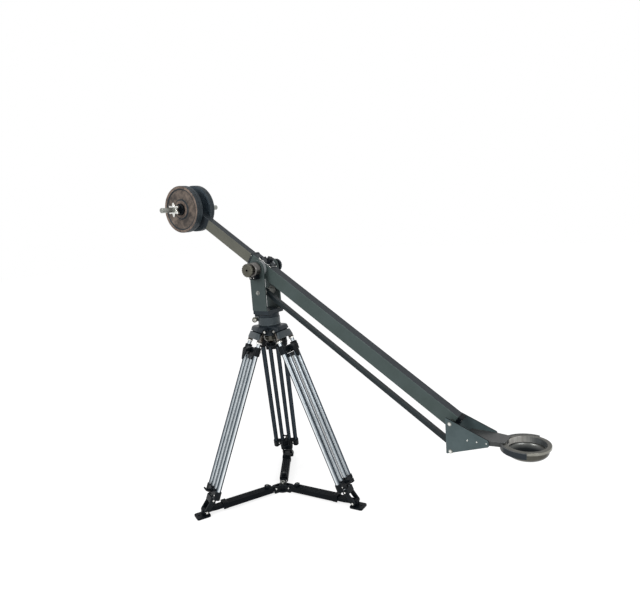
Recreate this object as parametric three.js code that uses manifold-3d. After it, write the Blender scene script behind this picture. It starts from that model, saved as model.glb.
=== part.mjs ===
// A camera jib: a counterweighted boom with a levelling head and bowl, on a pan and tilt
// yoke, on a three legged tripod with a ground spreader. Millimetres, +Z up. The origin is
// on the floor under the middle of the spreader, and the boom reaches along +X.
import * as THREE from 'three';
import { mergeVertices } from 'three/addons/utils/BufferGeometryUtils.js';
import Module from 'manifold-3d';

const wasm = await Module();
wasm.setup();

// Clearances that every fit shares
const gap = 0.3;
const overrun = 4;

// Counts and angles
const legCount = 3;
const firstLegDeg = 3.7;
const legAngleDeg = 22;
const boomPitchDeg = 33.5;
const roundSides = 16;
const tubeSides = 12;
const smallSides = 10;
const plateSides = 24;
const legSides = 10;
const arcSteps = 2;
const boltSides = 6;
const lobeSteps = 3;
const waveSteps = 2;

// Tripod leg: x runs outwards from the hinge, y along the hinge, z up the leg
const leg = {
  hingeRadius: 48,
  ankleOffset: 34,
  tubeOffset: 18,
  outerSpread: 54,
  innerSpread: 19,
  stubRadius: 9.4,
  outerRadius: 11.5,
  innerRadius: 10.5,
  stubLength: 330,
  pinRadius: 4.5,
  eyeRadius: 8,
};
const legYoke = {
  cheekInside: 26.3,
  cheekThickness: 9.7,
  faceInside: 30,
  faceOutside: 38,
  faceTop: 14,
  faceTopHalf: 48,
  barTop: 36,
  barBottom: 52,
  barHalf: 66,
  barInside: 6,
};
const legClamp = {
  top: 76,
  height: 42,
  ringRadius: 17,
  webInside: 9,
  webOutside: 33,
  webInset: 6,
  lugHalf: 12,
  lugReach: 11,
};
const legBracket = {
  top: 775,
  height: 39,
  socketRadius: 16,
  webInside: 6,
  webOutside: 31,
  webHeight: 26,
  bossRadius: 9,
  bossReach: 6,
};
const legLower = {
  guideDrop: 4,
  guideHeight: 18,
  guideHalf: 40,
  guideInside: 9,
  guideOutside: 27,
  collarHeight: 27.7,
  collarHalf: 33,
  collarInside: 5,
  collarOutside: 34,
  prongThickness: 9,
  prongTopHalf: 12,
  prongLength: 46,
  eyeRadius: 12,
};
const lever = {
  pivotRadius: 4,
  eyeRadius: 8,
  halfWidth: 9,
  thickness: 8,
  reach: 60,
  tipHalf: 6,
  kick: 7,
};
const wing = {
  shankRadius: 4,
  shankLength: 22,
  barHalf: 17,
  barRadius: 4.5,
  hubRadius: 7,
  seat: 6,
};

// Ground spreader and feet, along each leg's direction over the floor
const spreader = {
  pivotRadius: 45,
  pivotHeight: 25,
  pinRadius: 4,
  eyeRadius: 10,
  tongueHalf: 9.7,
  hubRadius: 34,
  hubBase: 9,
  hubBossRadius: 21,
  hubTop: 41,
  forkThickness: 6,
  forkInside: 26,
  forkOutside: 57,
  forkTop: 35,
  ringRadius: 12,
  ringHeight: 6,
};
const channel = {
  start: 62,
  end: 322,
  halfWidth: 21,
  bottom: 11,
  top: 38,
  wall: 3,
  ribHalf: 2,
  ribHeight: 1.6,
  ribSpacing: 10,
};
const bar = {
  start: 100,
  top: 34,
  bottom: 16,
  end: 428,
  shoeStart: 394,
  shoeEnd: 460,
  shoeHalf: 31,
  shoeThickness: 9,
  shoeCorner: 8,
  riserStart: 400,
  riserHalf: 14,
  holeRadius: 5,
  holeInset: 16,
  pinRadius: 5,
  pinHead: 4,
};
const armKnob = { radius: 14, height: 13, shankRadius: 4, place: 88, neck: 3 };

// Crown, tie-down and pan bearing, up from the leg hinges
const crown = {
  lobeReach: 93,
  lobeHalf: 45,
  lobeCorner: 14,
  lobeBottom: 8.5,
  lobeTop: 27,
  lobeBevel: 4,
  collarRadius: 56,
  height: 27.5,
  drumRadius: 44,
  drumBottom: 22,
  lugHalf: 26,
  lugReach: 10,
  lugBottom: 14,
  pinOverhang: 2,
};
const tieDown = {
  cupRadius: 27,
  cupHeight: 20,
  stemRadius: 8,
  stemBottom: 36,
  knobRadius: 22,
  knobBottom: 58,
  edge: 4,
};
const pan = {
  bottomRadius: 56,
  topRadius: 53,
  height: 40,
  edge: 3,
  rotorRadius: 51,
  rotorTopRadius: 50,
  rotorHeight: 17.5,
  lugDeg: 215,
  lugReach: 78,
  lugHalf: 10,
  lugBottom: 20,
  lugTop: 38,
  shoeReach: 66,
  shoeHalf: 17,
  shoeHeight: 15,
  knobRadius: 13,
  knobLength: 12,
  shankRadius: 4,
  knobPlace: 68,
};

// Yoke that carries the boom
const yoke = {
  setback: 5,
  inside: 50,
  plateThickness: 10,
  plateHalf: 42,
  baseThickness: 18,
  baseHalf: 46,
  baseCorner: 4,
  hingeRise: 202,
  rodDrop: 115,
};
const yokeBolt = { radius: 6, headRadius: 11, head: 7, spacerRadius: 15 };
const tilt = {
  axleRadius: 10,
  flangeRadius: 38,
  flangeEdge: 2,
  drumRadius: 36,
  nearDrum: 38,
  farDrum: 15,
  drumEdge: 4,
  shoeHalf: 20,
  shoeEnd: 8,
  shoeDrop: 47,
  neckRadius: 15,
  neckLength: 5,
  knobRadius: 32,
  knobLength: 24,
  fluteDepth: 1.6,
  knobEdge: 3,
  dimpleRadius: 7,
  dimpleDepth: 2,
  axleEnd: 10,
};
const fluteCount = 14;

// Boom, along its own axis from the tilt hinge
const boom = {
  width: 50,
  height: 66,
  wall: 3,
  corner: 3,
  back: 70,
  front: 1131,
  headPivot: 1122,
};
const collar = { lip: 2, thickness: 9, depth: 50 };
const frontBlock = { depth: 34, lip: 17, inset: 1 };
const clampPlate = {
  back: 32,
  front: 49,
  halfWidth: 22,
  thickness: 5,
  screwRadius: 3.6,
  screwHeight: 3,
  screwInset: 6,
};
const armLock = { radius: 17, height: 18, neckRadius: 8, neck: 8, shankRadius: 5, place: 14 };
const lobeCount = 6;
const lobeDepth = 2.5;

// Rear arm and counterweights
const rearTube = { width: 40, height: 54, wall: 3, corner: 3, back: 395, front: 150 };
const weightBlock = { end: 592, spigot: 45, endRadius: 20, bossRadius: 19 };
const weightBar = { place: 548, radius: 12.5, nearReach: 195, farReach: 187, edge: 2 };
const plate = {
  radius: 118,
  nearThickness: 19,
  farThickness: 15.5,
  rimWidth: 13,
  web: 8,
  hubRadius: 31,
  ringWidth: 5,
  edge: 2,
  bore: 13,
  nearSeat: 29.2,
  farSeat: 22.7,
};
const spinLock = {
  hubRadius: 22,
  hubLength: 37,
  starRadius: 37,
  starValley: 21,
  starThickness: 13,
  flangeRadius: 29,
  flange: 11,
  nose: 3,
};
const starPoints = 6;

// Control rod and levelling head
const rod = { width: 25, height: 20, wall: 2.5, corner: 2, tail: 16, nose: 14 };
const head = {
  inside: 49,
  plateThickness: 6,
  backInset: 18,
  topRise: 24,
  bottomDrop: 13,
  reach: 156,
  tipTop: 45,
  tipBottom: 70,
};
const headBolt = { radius: 6, headRadius: 8, head: 3, spacerRadius: 11 };
const arm = {
  start: 52,
  thickness: 20,
  drop: 57,
  neckHalf: 39,
  neckInset: 72,
};
const bowl = {
  reach: 286,
  rimDrop: 52,
  rimRadius: 90,
  rimThickness: 11,
  opening: 73,
  bodyRadius: 81,
  band: 24,
  depth: 59,
  wall: 5,
  drainRadius: 20,
  edge: 1.5,
};
const cradle = { outside: 99, inside: 82, floor: 12, lip: 8.7, lipRise: 12 };
const cradleEndDeg = 76;
const bowlSteps = 3;

const deg = THREE.MathUtils.degToRad;
const legTilt = deg(legAngleDeg);
const pitch = deg(boomPitchDeg);

// Places down the leg, each under the one above it
const clampBottom = legClamp.top + legClamp.height;
const guideTop = clampBottom + legLower.guideDrop;
const guideBottom = guideTop + legLower.guideHeight;
const bracketBottom = legBracket.top + legBracket.height;
const webBottom = legBracket.top + legBracket.webHeight;
const webMiddle = (legBracket.top + webBottom) / 2;
const collarTop = bracketBottom + gap;
const collarBottom = collarTop + legLower.collarHeight;
const ankleDrop = collarBottom + legLower.prongLength;

// Heights that the stack sets
const hingeHeight =
  spreader.pivotHeight + ankleDrop * Math.cos(legTilt) - leg.ankleOffset * Math.sin(legTilt);
const footRadius =
  leg.hingeRadius + leg.ankleOffset * Math.cos(legTilt) + ankleDrop * Math.sin(legTilt);
const crownTop = hingeHeight + crown.height;
const rotorBottom = crownTop + pan.height + gap;
const baseBottom = rotorBottom + pan.rotorHeight;
const baseTop = baseBottom + yoke.baseThickness;
const boomHeight = baseTop + yoke.hingeRise;
const rodHeight = boomHeight - yoke.rodDrop;
const yokeOutside = yoke.inside + yoke.plateThickness;
const headX = -yoke.setback + boom.headPivot * Math.cos(pitch);
const headZ = boomHeight - boom.headPivot * Math.sin(pitch);

// Finishes
const finishes = {
  blackCasting: { color: 0x1e2328, roughness: 0.55, metalness: 0.4 },
  blackPaint: { color: 0x23292e, roughness: 0.6, metalness: 0.2 },
  greenPaint: { color: 0x4b5755, roughness: 0.5, metalness: 0.3 },
  slatePaint: { color: 0x2f3739, roughness: 0.5, metalness: 0.3 },
  greyPaint: { color: 0x6d6e66, roughness: 0.55, metalness: 0.3 },
  anodised: { color: 0xc9d0d2, roughness: 0.32, metalness: 0.9 },
  steel: { color: 0x9fa3a0, roughness: 0.35, metalness: 0.9 },
  chrome: { color: 0xe8e8e6, roughness: 0.15, metalness: 1 },
  knob: { color: 0x4d4a3c, roughness: 0.6, metalness: 0.2 },
  castIron: { color: 0x7d6f67, roughness: 0.7, metalness: 0.5 },
  darkIron: { color: 0x2a3238, roughness: 0.7, metalness: 0.5 },
  turned: { color: 0xaaa79d, roughness: 0.3, metalness: 0.95 },
  flange: { color: 0x5f6a70, roughness: 0.45, metalness: 0.6 },
};

// Solid helpers: every shape is a closed geometry, joined and cut as solids
function toManifold(geometry) {
  const bare = new THREE.BufferGeometry();
  bare.setAttribute('position', geometry.getAttribute('position').clone());
  if (geometry.index) bare.setIndex(geometry.index.clone());
  const merged = mergeVertices(bare);
  const index = merged.index.array;
  const kept = [];
  for (let i = 0; i < index.length; i += 3) {
    const [a, b, c] = [index[i], index[i + 1], index[i + 2]];
    if (a !== b && b !== c && c !== a) kept.push(a, b, c);
  }
  return new wasm.Manifold(
    new wasm.Mesh({
      numProp: 3,
      vertProperties: new Float32Array(merged.getAttribute('position').array),
      triVerts: new Uint32Array(kept),
    }),
  );
}

function toGeometry(manifold) {
  const mesh = manifold.getMesh();
  const geometry = new THREE.BufferGeometry();
  geometry.setAttribute('position', new THREE.BufferAttribute(mesh.vertProperties, mesh.numProp));
  geometry.setIndex(new THREE.BufferAttribute(mesh.triVerts, 1));
  return geometry;
}

function join(...geometries) {
  let solid = toManifold(geometries[0]);
  for (const geometry of geometries.slice(1)) solid = solid.add(toManifold(geometry));
  return toGeometry(solid);
}

function cut(body, ...tools) {
  let solid = toManifold(body);
  for (const tool of tools) solid = solid.subtract(toManifold(tool));
  return toGeometry(solid);
}

function block(x, y, z) {
  const geometry = new THREE.BoxGeometry(x[1] - x[0], y[1] - y[0], z[1] - z[0]);
  return geometry.translate((x[0] + x[1]) / 2, (y[0] + y[1]) / 2, (z[0] + z[1]) / 2);
}

// Turns a geometry built along +Z so that it runs along another axis
const along = {
  x: new THREE.Matrix4().makeBasis(
    new THREE.Vector3(0, 1, 0),
    new THREE.Vector3(0, 0, 1),
    new THREE.Vector3(1, 0, 0),
  ),
  y: new THREE.Matrix4().makeBasis(
    new THREE.Vector3(0, 0, 1),
    new THREE.Vector3(1, 0, 0),
    new THREE.Vector3(0, 1, 0),
  ),
  z: new THREE.Matrix4(),
};

// A round bar along an axis, between two places on it, at the other two coordinates
function round(axis, radius, from, to, at = [0, 0], sides = roundSides) {
  const geometry = new THREE.CylinderGeometry(radius, radius, to - from, sides);
  geometry.rotateX(Math.PI / 2);
  geometry.translate(0, 0, (from + to) / 2);
  geometry.applyMatrix4(along[axis]);
  const shift = { x: [0, at[0], at[1]], y: [at[0], 0, at[1]], z: [at[0], at[1], 0] }[axis];
  return geometry.translate(...shift);
}

// A profile of [radius, place] pairs spun about an axis; it closes on itself or on the axis
function turned(axis, profile, sides = roundSides) {
  const points = profile.map(([r, h]) => new THREE.Vector2(r, h));
  if (THREE.ShapeUtils.area(points) < 0) points.reverse();
  const onAxis = points[0].x === 0 && points[points.length - 1].x === 0;
  if (!onAxis) points.push(points[0].clone());
  const geometry = new THREE.LatheGeometry(points, sides);
  geometry.rotateX(Math.PI / 2);
  return geometry.applyMatrix4(along[axis]);
}

// An outline in the plane across an axis, pushed along that axis between two places
function slab(axis, shape, from, to, bevel = 0) {
  const geometry = new THREE.ExtrudeGeometry(shape, {
    depth: to - from - 2 * bevel,
    bevelEnabled: bevel > 0,
    bevelThickness: bevel,
    bevelSize: bevel,
    bevelOffset: -bevel,
    bevelSegments: 1,
    curveSegments: arcSteps,
  });
  geometry.translate(0, 0, from + bevel);
  return geometry.applyMatrix4(along[axis]);
}

// Outlines for slabs along y are drawn as [z, x] and flipped here from [x, z]
function outline(points) {
  return new THREE.Shape(points.map(([u, v]) => new THREE.Vector2(u, v)));
}

function sideOutline(points) {
  return outline(points.map(([x, z]) => [z, x]));
}

function roundedBox(halfU, halfV, corner, centre = [0, 0]) {
  const shape = new THREE.Shape();
  const [u, v] = centre;
  shape.moveTo(u - halfU + corner, v - halfV);
  shape.lineTo(u + halfU - corner, v - halfV);
  shape.absarc(u + halfU - corner, v - halfV + corner, corner, -Math.PI / 2, 0, false);
  shape.lineTo(u + halfU, v + halfV - corner);
  shape.absarc(u + halfU - corner, v + halfV - corner, corner, 0, Math.PI / 2, false);
  shape.lineTo(u - halfU + corner, v + halfV);
  shape.absarc(u - halfU + corner, v + halfV - corner, corner, Math.PI / 2, Math.PI, false);
  shape.lineTo(u - halfU, v - halfV + corner);
  shape.absarc(u - halfU + corner, v - halfV + corner, corner, Math.PI, 1.5 * Math.PI, false);
  return shape;
}

// A closed ring of points whose radius swings between two values, as on a fluted knob
function waveOutline(count, outer, inner, steps) {
  const points = [];
  for (let i = 0; i < count * steps; i += 1) {
    const turn = (i / (count * steps)) * 2 * Math.PI;
    const swing = (1 + Math.cos(count * turn)) / 2;
    const radius = inner + (outer - inner) * swing;
    points.push([radius * Math.cos(turn), radius * Math.sin(turn)]);
  }
  return outline(points);
}

const part = new THREE.Group();

function addPiece(parent, name, geometry, finish) {
  geometry.deleteAttribute('normal');
  geometry.deleteAttribute('uv');
  const flat = geometry.index ? geometry.toNonIndexed() : geometry;
  flat.computeVertexNormals();
  const mesh = new THREE.Mesh(flat, new THREE.MeshStandardMaterial(finishes[finish]));
  mesh.name = name;
  parent.add(mesh);
}

function addFrame(parent, x, y, z) {
  const frame = new THREE.Group();
  frame.position.set(x, y, z);
  parent.add(frame);
  return frame;
}

// Leg hinge yoke with the two upper tubes that telescope into the leg
function legYokeShape() {
  const { cheekInside, cheekThickness, barInside, faceOutside } = legYoke;
  const cheekOutside = cheekInside + cheekThickness;
  const face = slab(
    'x',
    outline([
      [-legYoke.faceTopHalf, -legYoke.faceTop],
      [-legYoke.barHalf, -legYoke.barTop],
      [legYoke.barHalf, -legYoke.barTop],
      [legYoke.faceTopHalf, -legYoke.faceTop],
    ]),
    legYoke.faceInside,
    faceOutside,
  );
  const foot = slab(
    'z',
    roundedBox((faceOutside - barInside) / 2, legYoke.barHalf, leg.eyeRadius, [
      (faceOutside + barInside) / 2,
      0,
    ]),
    -legYoke.barBottom,
    -legYoke.barTop,
  );
  let body = join(face, foot);
  for (const side of [-1, 1]) {
    const cheek = slab(
      'y',
      sideOutline([
        [-leg.eyeRadius, 0],
        [0, leg.eyeRadius],
        [faceOutside, -legYoke.faceTop],
        [faceOutside, -legYoke.barTop],
        [barInside, -legYoke.barTop - overrun],
      ]),
      side > 0 ? cheekInside : -cheekOutside,
      side > 0 ? cheekOutside : -cheekInside,
    );
    const stub = round(
      'z',
      leg.stubRadius,
      -legYoke.barTop - leg.stubLength,
      -legYoke.barTop - overrun,
      [leg.tubeOffset, side * leg.outerSpread],
      legSides,
    );
    body = join(body, cheek, stub);
  }
  const pinBore = leg.pinRadius + gap;
  return cut(body, round('y', pinBore, -legYoke.barHalf, legYoke.barHalf, [0, 0], smallSides));
}

// Upper clamp casting, two outer tubes and the bottom bracket, one welded frame
function legFrameShape() {
  const { tubeOffset, outerSpread, outerRadius } = leg;
  const clampWeb = block(
    [legClamp.webInside, legClamp.webOutside],
    [-outerSpread, outerSpread],
    [-clampBottom + legClamp.webInset, -legClamp.top - legClamp.webInset],
  );
  const pivot = leverPlace();
  const lug = join(
    slab(
      'y',
      sideOutline([
        [legClamp.webOutside - overrun, -clampBottom + legClamp.webInset],
        [pivot.x, pivot.z - lever.eyeRadius],
        [pivot.x, pivot.z + lever.eyeRadius],
        [legClamp.webOutside - overrun, -legClamp.top - legClamp.webInset],
      ]),
      -legClamp.lugHalf,
      legClamp.lugHalf,
    ),
    round(
      'y',
      lever.eyeRadius,
      -legClamp.lugHalf,
      legClamp.lugHalf,
      [pivot.x, pivot.z],
      smallSides,
    ),
  );
  const bracketWeb = block(
    [legBracket.webInside, legBracket.webOutside],
    [-outerSpread, outerSpread],
    [-webBottom, -legBracket.top],
  );
  const boss = round(
    'x',
    legBracket.bossRadius,
    legBracket.webOutside - overrun,
    legBracket.webOutside + legBracket.bossReach,
    [0, -webMiddle],
    legSides,
  );
  let body = join(clampWeb, lug, bracketWeb, boss);
  for (const side of [-1, 1]) {
    const at = [tubeOffset, side * outerSpread];
    const ring = round('z', legClamp.ringRadius, -clampBottom, -legClamp.top, at, legSides);
    const tube = round(
      'z',
      outerRadius,
      -legBracket.top - overrun,
      -clampBottom + overrun,
      at,
      legSides,
    );
    const socket = round(
      'z',
      legBracket.socketRadius,
      -bracketBottom,
      -legBracket.top,
      at,
      legSides,
    );
    body = join(body, ring, tube, socket);
  }
  const tools = [];
  for (const side of [-1, 1]) {
    const outer = [tubeOffset, side * outerSpread];
    const inner = [tubeOffset, side * leg.innerSpread];
    tools.push(
      round(
        'z',
        leg.stubRadius + gap,
        -legBracket.top,
        -legClamp.top + overrun,
        outer,
        legSides,
      ),
      round(
        'z',
        leg.innerRadius + gap,
        -bracketBottom - overrun,
        -legBracket.top + overrun,
        inner,
        legSides,
      ),
    );
  }
  const screwBore = round(
    'x',
    wing.shankRadius + gap,
    legBracket.webOutside - wing.seat,
    legBracket.webOutside + legBracket.bossReach + overrun,
    [0, -webMiddle],
    smallSides,
  );
  const leverSlot = round(
    'y',
    lever.pivotRadius + gap,
    -legClamp.lugHalf - overrun,
    legClamp.lugHalf + overrun,
    [pivot.x, pivot.z],
    smallSides,
  );
  return cut(body, ...tools, screwBore, leverSlot);
}

function leverPlace() {
  return {
    x: legClamp.webOutside + legClamp.lugReach,
    z: -(legClamp.top + clampBottom) / 2,
  };
}

// Inner tubes with their guide and the forked foot casting
function legLowerShape() {
  const { tubeOffset, innerSpread } = leg;
  const guide = block(
    [legLower.guideInside, legLower.guideOutside],
    [-legLower.guideHalf, legLower.guideHalf],
    [-guideBottom, -guideTop],
  );
  const footCollar = slab(
    'z',
    roundedBox(
      (legLower.collarOutside - legLower.collarInside) / 2,
      legLower.collarHalf,
      leg.eyeRadius,
      [(legLower.collarOutside + legLower.collarInside) / 2, 0],
    ),
    -collarBottom,
    -collarTop,
  );
  let body = join(guide, footCollar);
  const prongInside = bar.riserHalf + overrun + gap;
  for (const side of [-1, 1]) {
    const tube = round(
      'z',
      leg.innerRadius,
      -collarBottom + overrun,
      -guideTop - overrun,
      [tubeOffset, side * innerSpread],
      legSides,
    );
    const near = side * prongInside;
    const far = side * (prongInside + legLower.prongThickness);
    const shank = slab(
      'y',
      sideOutline([
        [tubeOffset - legLower.prongTopHalf, -collarBottom + overrun],
        [tubeOffset + legLower.prongTopHalf, -collarBottom + overrun],
        [leg.ankleOffset + legLower.eyeRadius, -ankleDrop],
        [leg.ankleOffset - legLower.eyeRadius, -ankleDrop],
      ]),
      Math.min(near, far),
      Math.max(near, far),
    );
    const eye = round(
      'y',
      legLower.eyeRadius,
      Math.min(near, far),
      Math.max(near, far),
      [leg.ankleOffset, -ankleDrop],
      legSides,
    );
    body = join(body, tube, shank, eye);
  }
  const reach = prongInside + legLower.prongThickness + overrun;
  const bore = round(
    'y',
    bar.pinRadius + gap,
    -reach,
    reach,
    [leg.ankleOffset, -ankleDrop],
    smallSides,
  );
  return cut(body, bore);
}

// Flip lever that closes the upper clamp
function leverShape() {
  const inside = legClamp.lugHalf + gap;
  const outside = inside + lever.thickness;
  const { x, z } = leverPlace();
  const blade = slab(
    'x',
    outline([
      [-outside, z - lever.eyeRadius],
      [-lever.tipHalf, z - lever.reach],
      [lever.tipHalf, z - lever.reach],
      [outside, z - lever.eyeRadius],
      [outside, z],
      [-outside, z],
    ]),
    x + lever.eyeRadius + gap,
    x + lever.eyeRadius + lever.kick,
  );
  let body = join(blade, round('y', lever.pivotRadius, -outside, outside, [x, z], smallSides));
  for (const side of [-1, 1]) {
    const cheek = slab(
      'y',
      sideOutline([
        [x, z - lever.halfWidth],
        [x + lever.eyeRadius + lever.kick, z - lever.halfWidth],
        [x + lever.eyeRadius + lever.kick, z],
        [x, z + lever.eyeRadius],
        [x - lever.eyeRadius, z],
      ]),
      side > 0 ? inside : -outside,
      side > 0 ? outside : -inside,
    );
    body = join(body, cheek);
  }
  return body;
}

// T handled screw that locks the lower tubes
function wingShape() {
  const z = -webMiddle;
  const face = legBracket.webOutside + legBracket.bossReach;
  const tip = face + wing.shankLength;
  const shank = round(
    'x',
    wing.shankRadius,
    legBracket.webOutside - wing.seat + gap,
    tip,
    [0, z],
    smallSides,
  );
  const hub = round('x', wing.hubRadius, face + gap, face + wing.seat, [0, z], tubeSides);
  const handle = round('y', wing.barRadius, -wing.barHalf, wing.barHalf, [tip, z], smallSides);
  return join(shank, hub, handle);
}

// Ground bar of one leg, with its foot shoe and ankle pin; x runs outwards over the floor
function footBarShape() {
  const halfBar = channel.halfWidth - channel.wall - gap;
  const halfNeck = bar.riserHalf + overrun;
  const beam = slab(
    'z',
    outline([
      [bar.start, -halfBar],
      [bar.riserStart - 2 * halfBar, -halfBar],
      [bar.riserStart - halfBar, -bar.riserHalf],
      [bar.end, -bar.riserHalf],
      [bar.end, bar.riserHalf],
      [bar.riserStart - halfBar, bar.riserHalf],
      [bar.riserStart - 2 * halfBar, halfBar],
      [bar.start, halfBar],
    ]),
    bar.bottom,
    bar.top,
  );
  const riser = block(
    [bar.riserStart, bar.end],
    [-bar.riserHalf, bar.riserHalf],
    [bar.shoeThickness - gap, bar.bottom + gap],
  );
  const shoe = slab(
    'z',
    roundedBox((bar.shoeEnd - bar.shoeStart) / 2, bar.shoeHalf, bar.shoeCorner, [
      (bar.shoeEnd + bar.shoeStart) / 2,
      0,
    ]),
    0,
    bar.shoeThickness,
  );
  const pinReach = halfNeck + gap + legLower.prongThickness + bar.pinHead;
  const pin = round(
    'y',
    bar.pinRadius,
    -pinReach,
    pinReach,
    [footRadius, spreader.pivotHeight],
    smallSides,
  );
  const hubs = round(
    'y',
    legLower.eyeRadius,
    -halfNeck,
    halfNeck,
    [footRadius, spreader.pivotHeight],
    tubeSides,
  );
  const hole = round(
    'z',
    bar.holeRadius,
    -overrun,
    bar.shoeThickness + overrun,
    [bar.shoeEnd - bar.holeInset, 0],
    smallSides,
  );
  return cut(join(beam, riser, shoe, pin, hubs), hole);
}

// Spreader arm: a ribbed inverted channel with a tongue at the hub
function armChannelShape() {
  const { halfWidth, wall, bottom, top, ribHalf, ribHeight, ribSpacing } = channel;
  const points = [
    [-halfWidth, bottom],
    [-halfWidth + wall, bottom],
    [-halfWidth + wall, top - wall],
    [halfWidth - wall, top - wall],
    [halfWidth - wall, bottom],
    [halfWidth, bottom],
    [halfWidth, top],
  ];
  for (const centre of [ribSpacing, 0, -ribSpacing]) {
    points.push(
      [centre + ribHalf, top],
      [centre + ribHalf, top + ribHeight],
      [centre - ribHalf, top + ribHeight],
      [centre - ribHalf, top],
    );
  }
  points.push([-halfWidth, top]);
  const web = slab('x', outline(points), channel.start, channel.end);
  const tongue = block(
    [spreader.pivotRadius, channel.start + wall],
    [-spreader.tongueHalf, spreader.tongueHalf],
    [spreader.pivotHeight - spreader.eyeRadius, spreader.pivotHeight + spreader.eyeRadius],
  );
  const plug = block(
    [channel.start, channel.start + wall],
    [-halfWidth + gap, halfWidth - gap],
    [bottom, top - gap],
  );
  const eye = round(
    'y',
    spreader.eyeRadius,
    -spreader.tongueHalf,
    spreader.tongueHalf,
    [spreader.pivotRadius, spreader.pivotHeight],
    tubeSides,
  );
  const pinBore = round(
    'y',
    spreader.pinRadius + gap,
    -halfWidth,
    halfWidth,
    [spreader.pivotRadius, spreader.pivotHeight],
    smallSides,
  );
  const lockBore = round(
    'z',
    armKnob.shankRadius + gap,
    top - wall - overrun,
    top + ribHeight + overrun,
    [armKnob.place, 0],
    smallSides,
  );
  return cut(join(web, tongue, plug, eye), pinBore, lockBore);
}

function armKnobShape() {
  const top = channel.top + channel.ribHeight;
  const knobHead = slab(
    'z',
    waveOutline(lobeCount, armKnob.radius, armKnob.radius - lobeDepth, lobeSteps),
    top + gap,
    top + gap + armKnob.height,
    lobeDepth / 2,
  );
  const shank = round(
    'z',
    armKnob.shankRadius,
    channel.top - channel.wall,
    top + armKnob.neck,
    [0, 0],
    smallSides,
  );
  return join(knobHead, shank).translate(armKnob.place, 0, 0);
}

// Middle of the spreader, with three forks and their pins
function spreaderHubShape() {
  const { hubRadius, hubBase, hubBossRadius, hubTop, tongueHalf, forkThickness } = spreader;
  let body = join(
    round('z', hubRadius, 0, hubBase),
    round('z', hubBossRadius, 0, hubTop),
    round('z', spreader.ringRadius, hubTop - gap, hubTop + spreader.ringHeight, [0, 0], tubeSides),
  );
  const inside = tongueHalf + gap;
  const outside = inside + forkThickness;
  for (let i = 0; i < legCount; i += 1) {
    const turn = deg(firstLegDeg + (i * 360) / legCount);
    const cheeks = [-1, 1].map((side) =>
      block(
        [0, spreader.forkOutside],
        side > 0 ? [inside, outside] : [-outside, -inside],
        [0, spreader.forkTop],
      ),
    );
    const pin = round(
      'y',
      spreader.pinRadius,
      -outside - gap,
      outside + gap,
      [spreader.pivotRadius, spreader.pivotHeight],
      smallSides,
    );
    const slot = block(
      [spreader.forkInside, spreader.forkOutside + overrun],
      [-inside, inside],
      [hubBase, hubTop + overrun],
    );
    const fork = join(...cheeks, pin);
    body = cut(body, slot.rotateZ(turn));
    body = join(body, fork.rotateZ(turn));
  }
  return cut(
    body,
    round('z', spreader.ringRadius / 2, hubTop - overrun, hubTop + 2 * overrun, [0, 0], smallSides),
  );
}

// Crown casting: three rounded lobes over three hinge lugs
function crownShape() {
  const lobeBottom = hingeHeight + crown.lobeBottom;
  const lobeTop = hingeHeight + crown.lobeTop;
  const lowest = hingeHeight - crown.drumBottom;
  let body = join(
    round('z', crown.collarRadius, lobeBottom, crownTop, [0, 0], plateSides),
    round('z', crown.drumRadius, lowest, lobeBottom + gap),
  );
  const cheekOutside = legYoke.cheekInside + legYoke.cheekThickness;
  for (let i = 0; i < legCount; i += 1) {
    const turn = deg(firstLegDeg + (i * 360) / legCount);
    const lobe = slab(
      'z',
      roundedBox(crown.lobeReach / 2, crown.lobeHalf, crown.lobeCorner, [crown.lobeReach / 2, 0]),
      lobeBottom,
      lobeTop,
      crown.lobeBevel,
    );
    const lug = block(
      [0, leg.hingeRadius + crown.lugReach],
      [-crown.lugHalf, crown.lugHalf],
      [hingeHeight - crown.lugBottom, lobeBottom + gap],
    );
    const pin = round(
      'y',
      leg.pinRadius,
      -cheekOutside - crown.pinOverhang,
      cheekOutside + crown.pinOverhang,
      [leg.hingeRadius, hingeHeight],
      smallSides,
    );
    body = join(body, join(lobe, lug, pin).rotateZ(turn));
  }
  return body;
}

function tieDownShape() {
  const { cupRadius, cupHeight, stemRadius, stemBottom, knobRadius, knobBottom, edge } = tieDown;
  const stem = turned('z', [
    [0, -gap],
    [cupRadius - edge, -gap],
    [cupRadius, -edge],
    [stemRadius + edge, -cupHeight],
    [stemRadius, -stemBottom],
    [0, -stemBottom],
  ]);
  const grip = slab(
    'z',
    waveOutline(lobeCount, knobRadius, knobRadius - lobeDepth, lobeSteps),
    -knobBottom,
    -stemBottom + gap,
    edge,
  );
  return join(stem, grip).translate(0, 0, hingeHeight - crown.drumBottom);
}

// Fixed lower half of the pan bearing, with the split lug of its lock
function panBaseShape() {
  const { bottomRadius, topRadius, height, edge } = pan;
  const drum = turned(
    'z',
    [
      [0, 0],
      [bottomRadius - edge, 0],
      [bottomRadius, edge],
      [bottomRadius, 2 * edge],
      [topRadius, 3 * edge],
      [topRadius, height - edge],
      [topRadius - edge, height],
      [0, height],
    ],
    plateSides,
  );
  const lug = block(
    [0, pan.lugReach],
    [-pan.lugHalf, pan.lugHalf],
    [pan.lugBottom, pan.lugTop],
  );
  const bore = round(
    'y',
    pan.shankRadius + gap,
    0,
    pan.lugHalf + overrun,
    [pan.knobPlace, (pan.lugBottom + pan.lugTop) / 2],
    smallSides,
  );
  return join(drum, cut(lug, bore).rotateZ(deg(pan.lugDeg))).translate(0, 0, crownTop);
}

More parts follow.
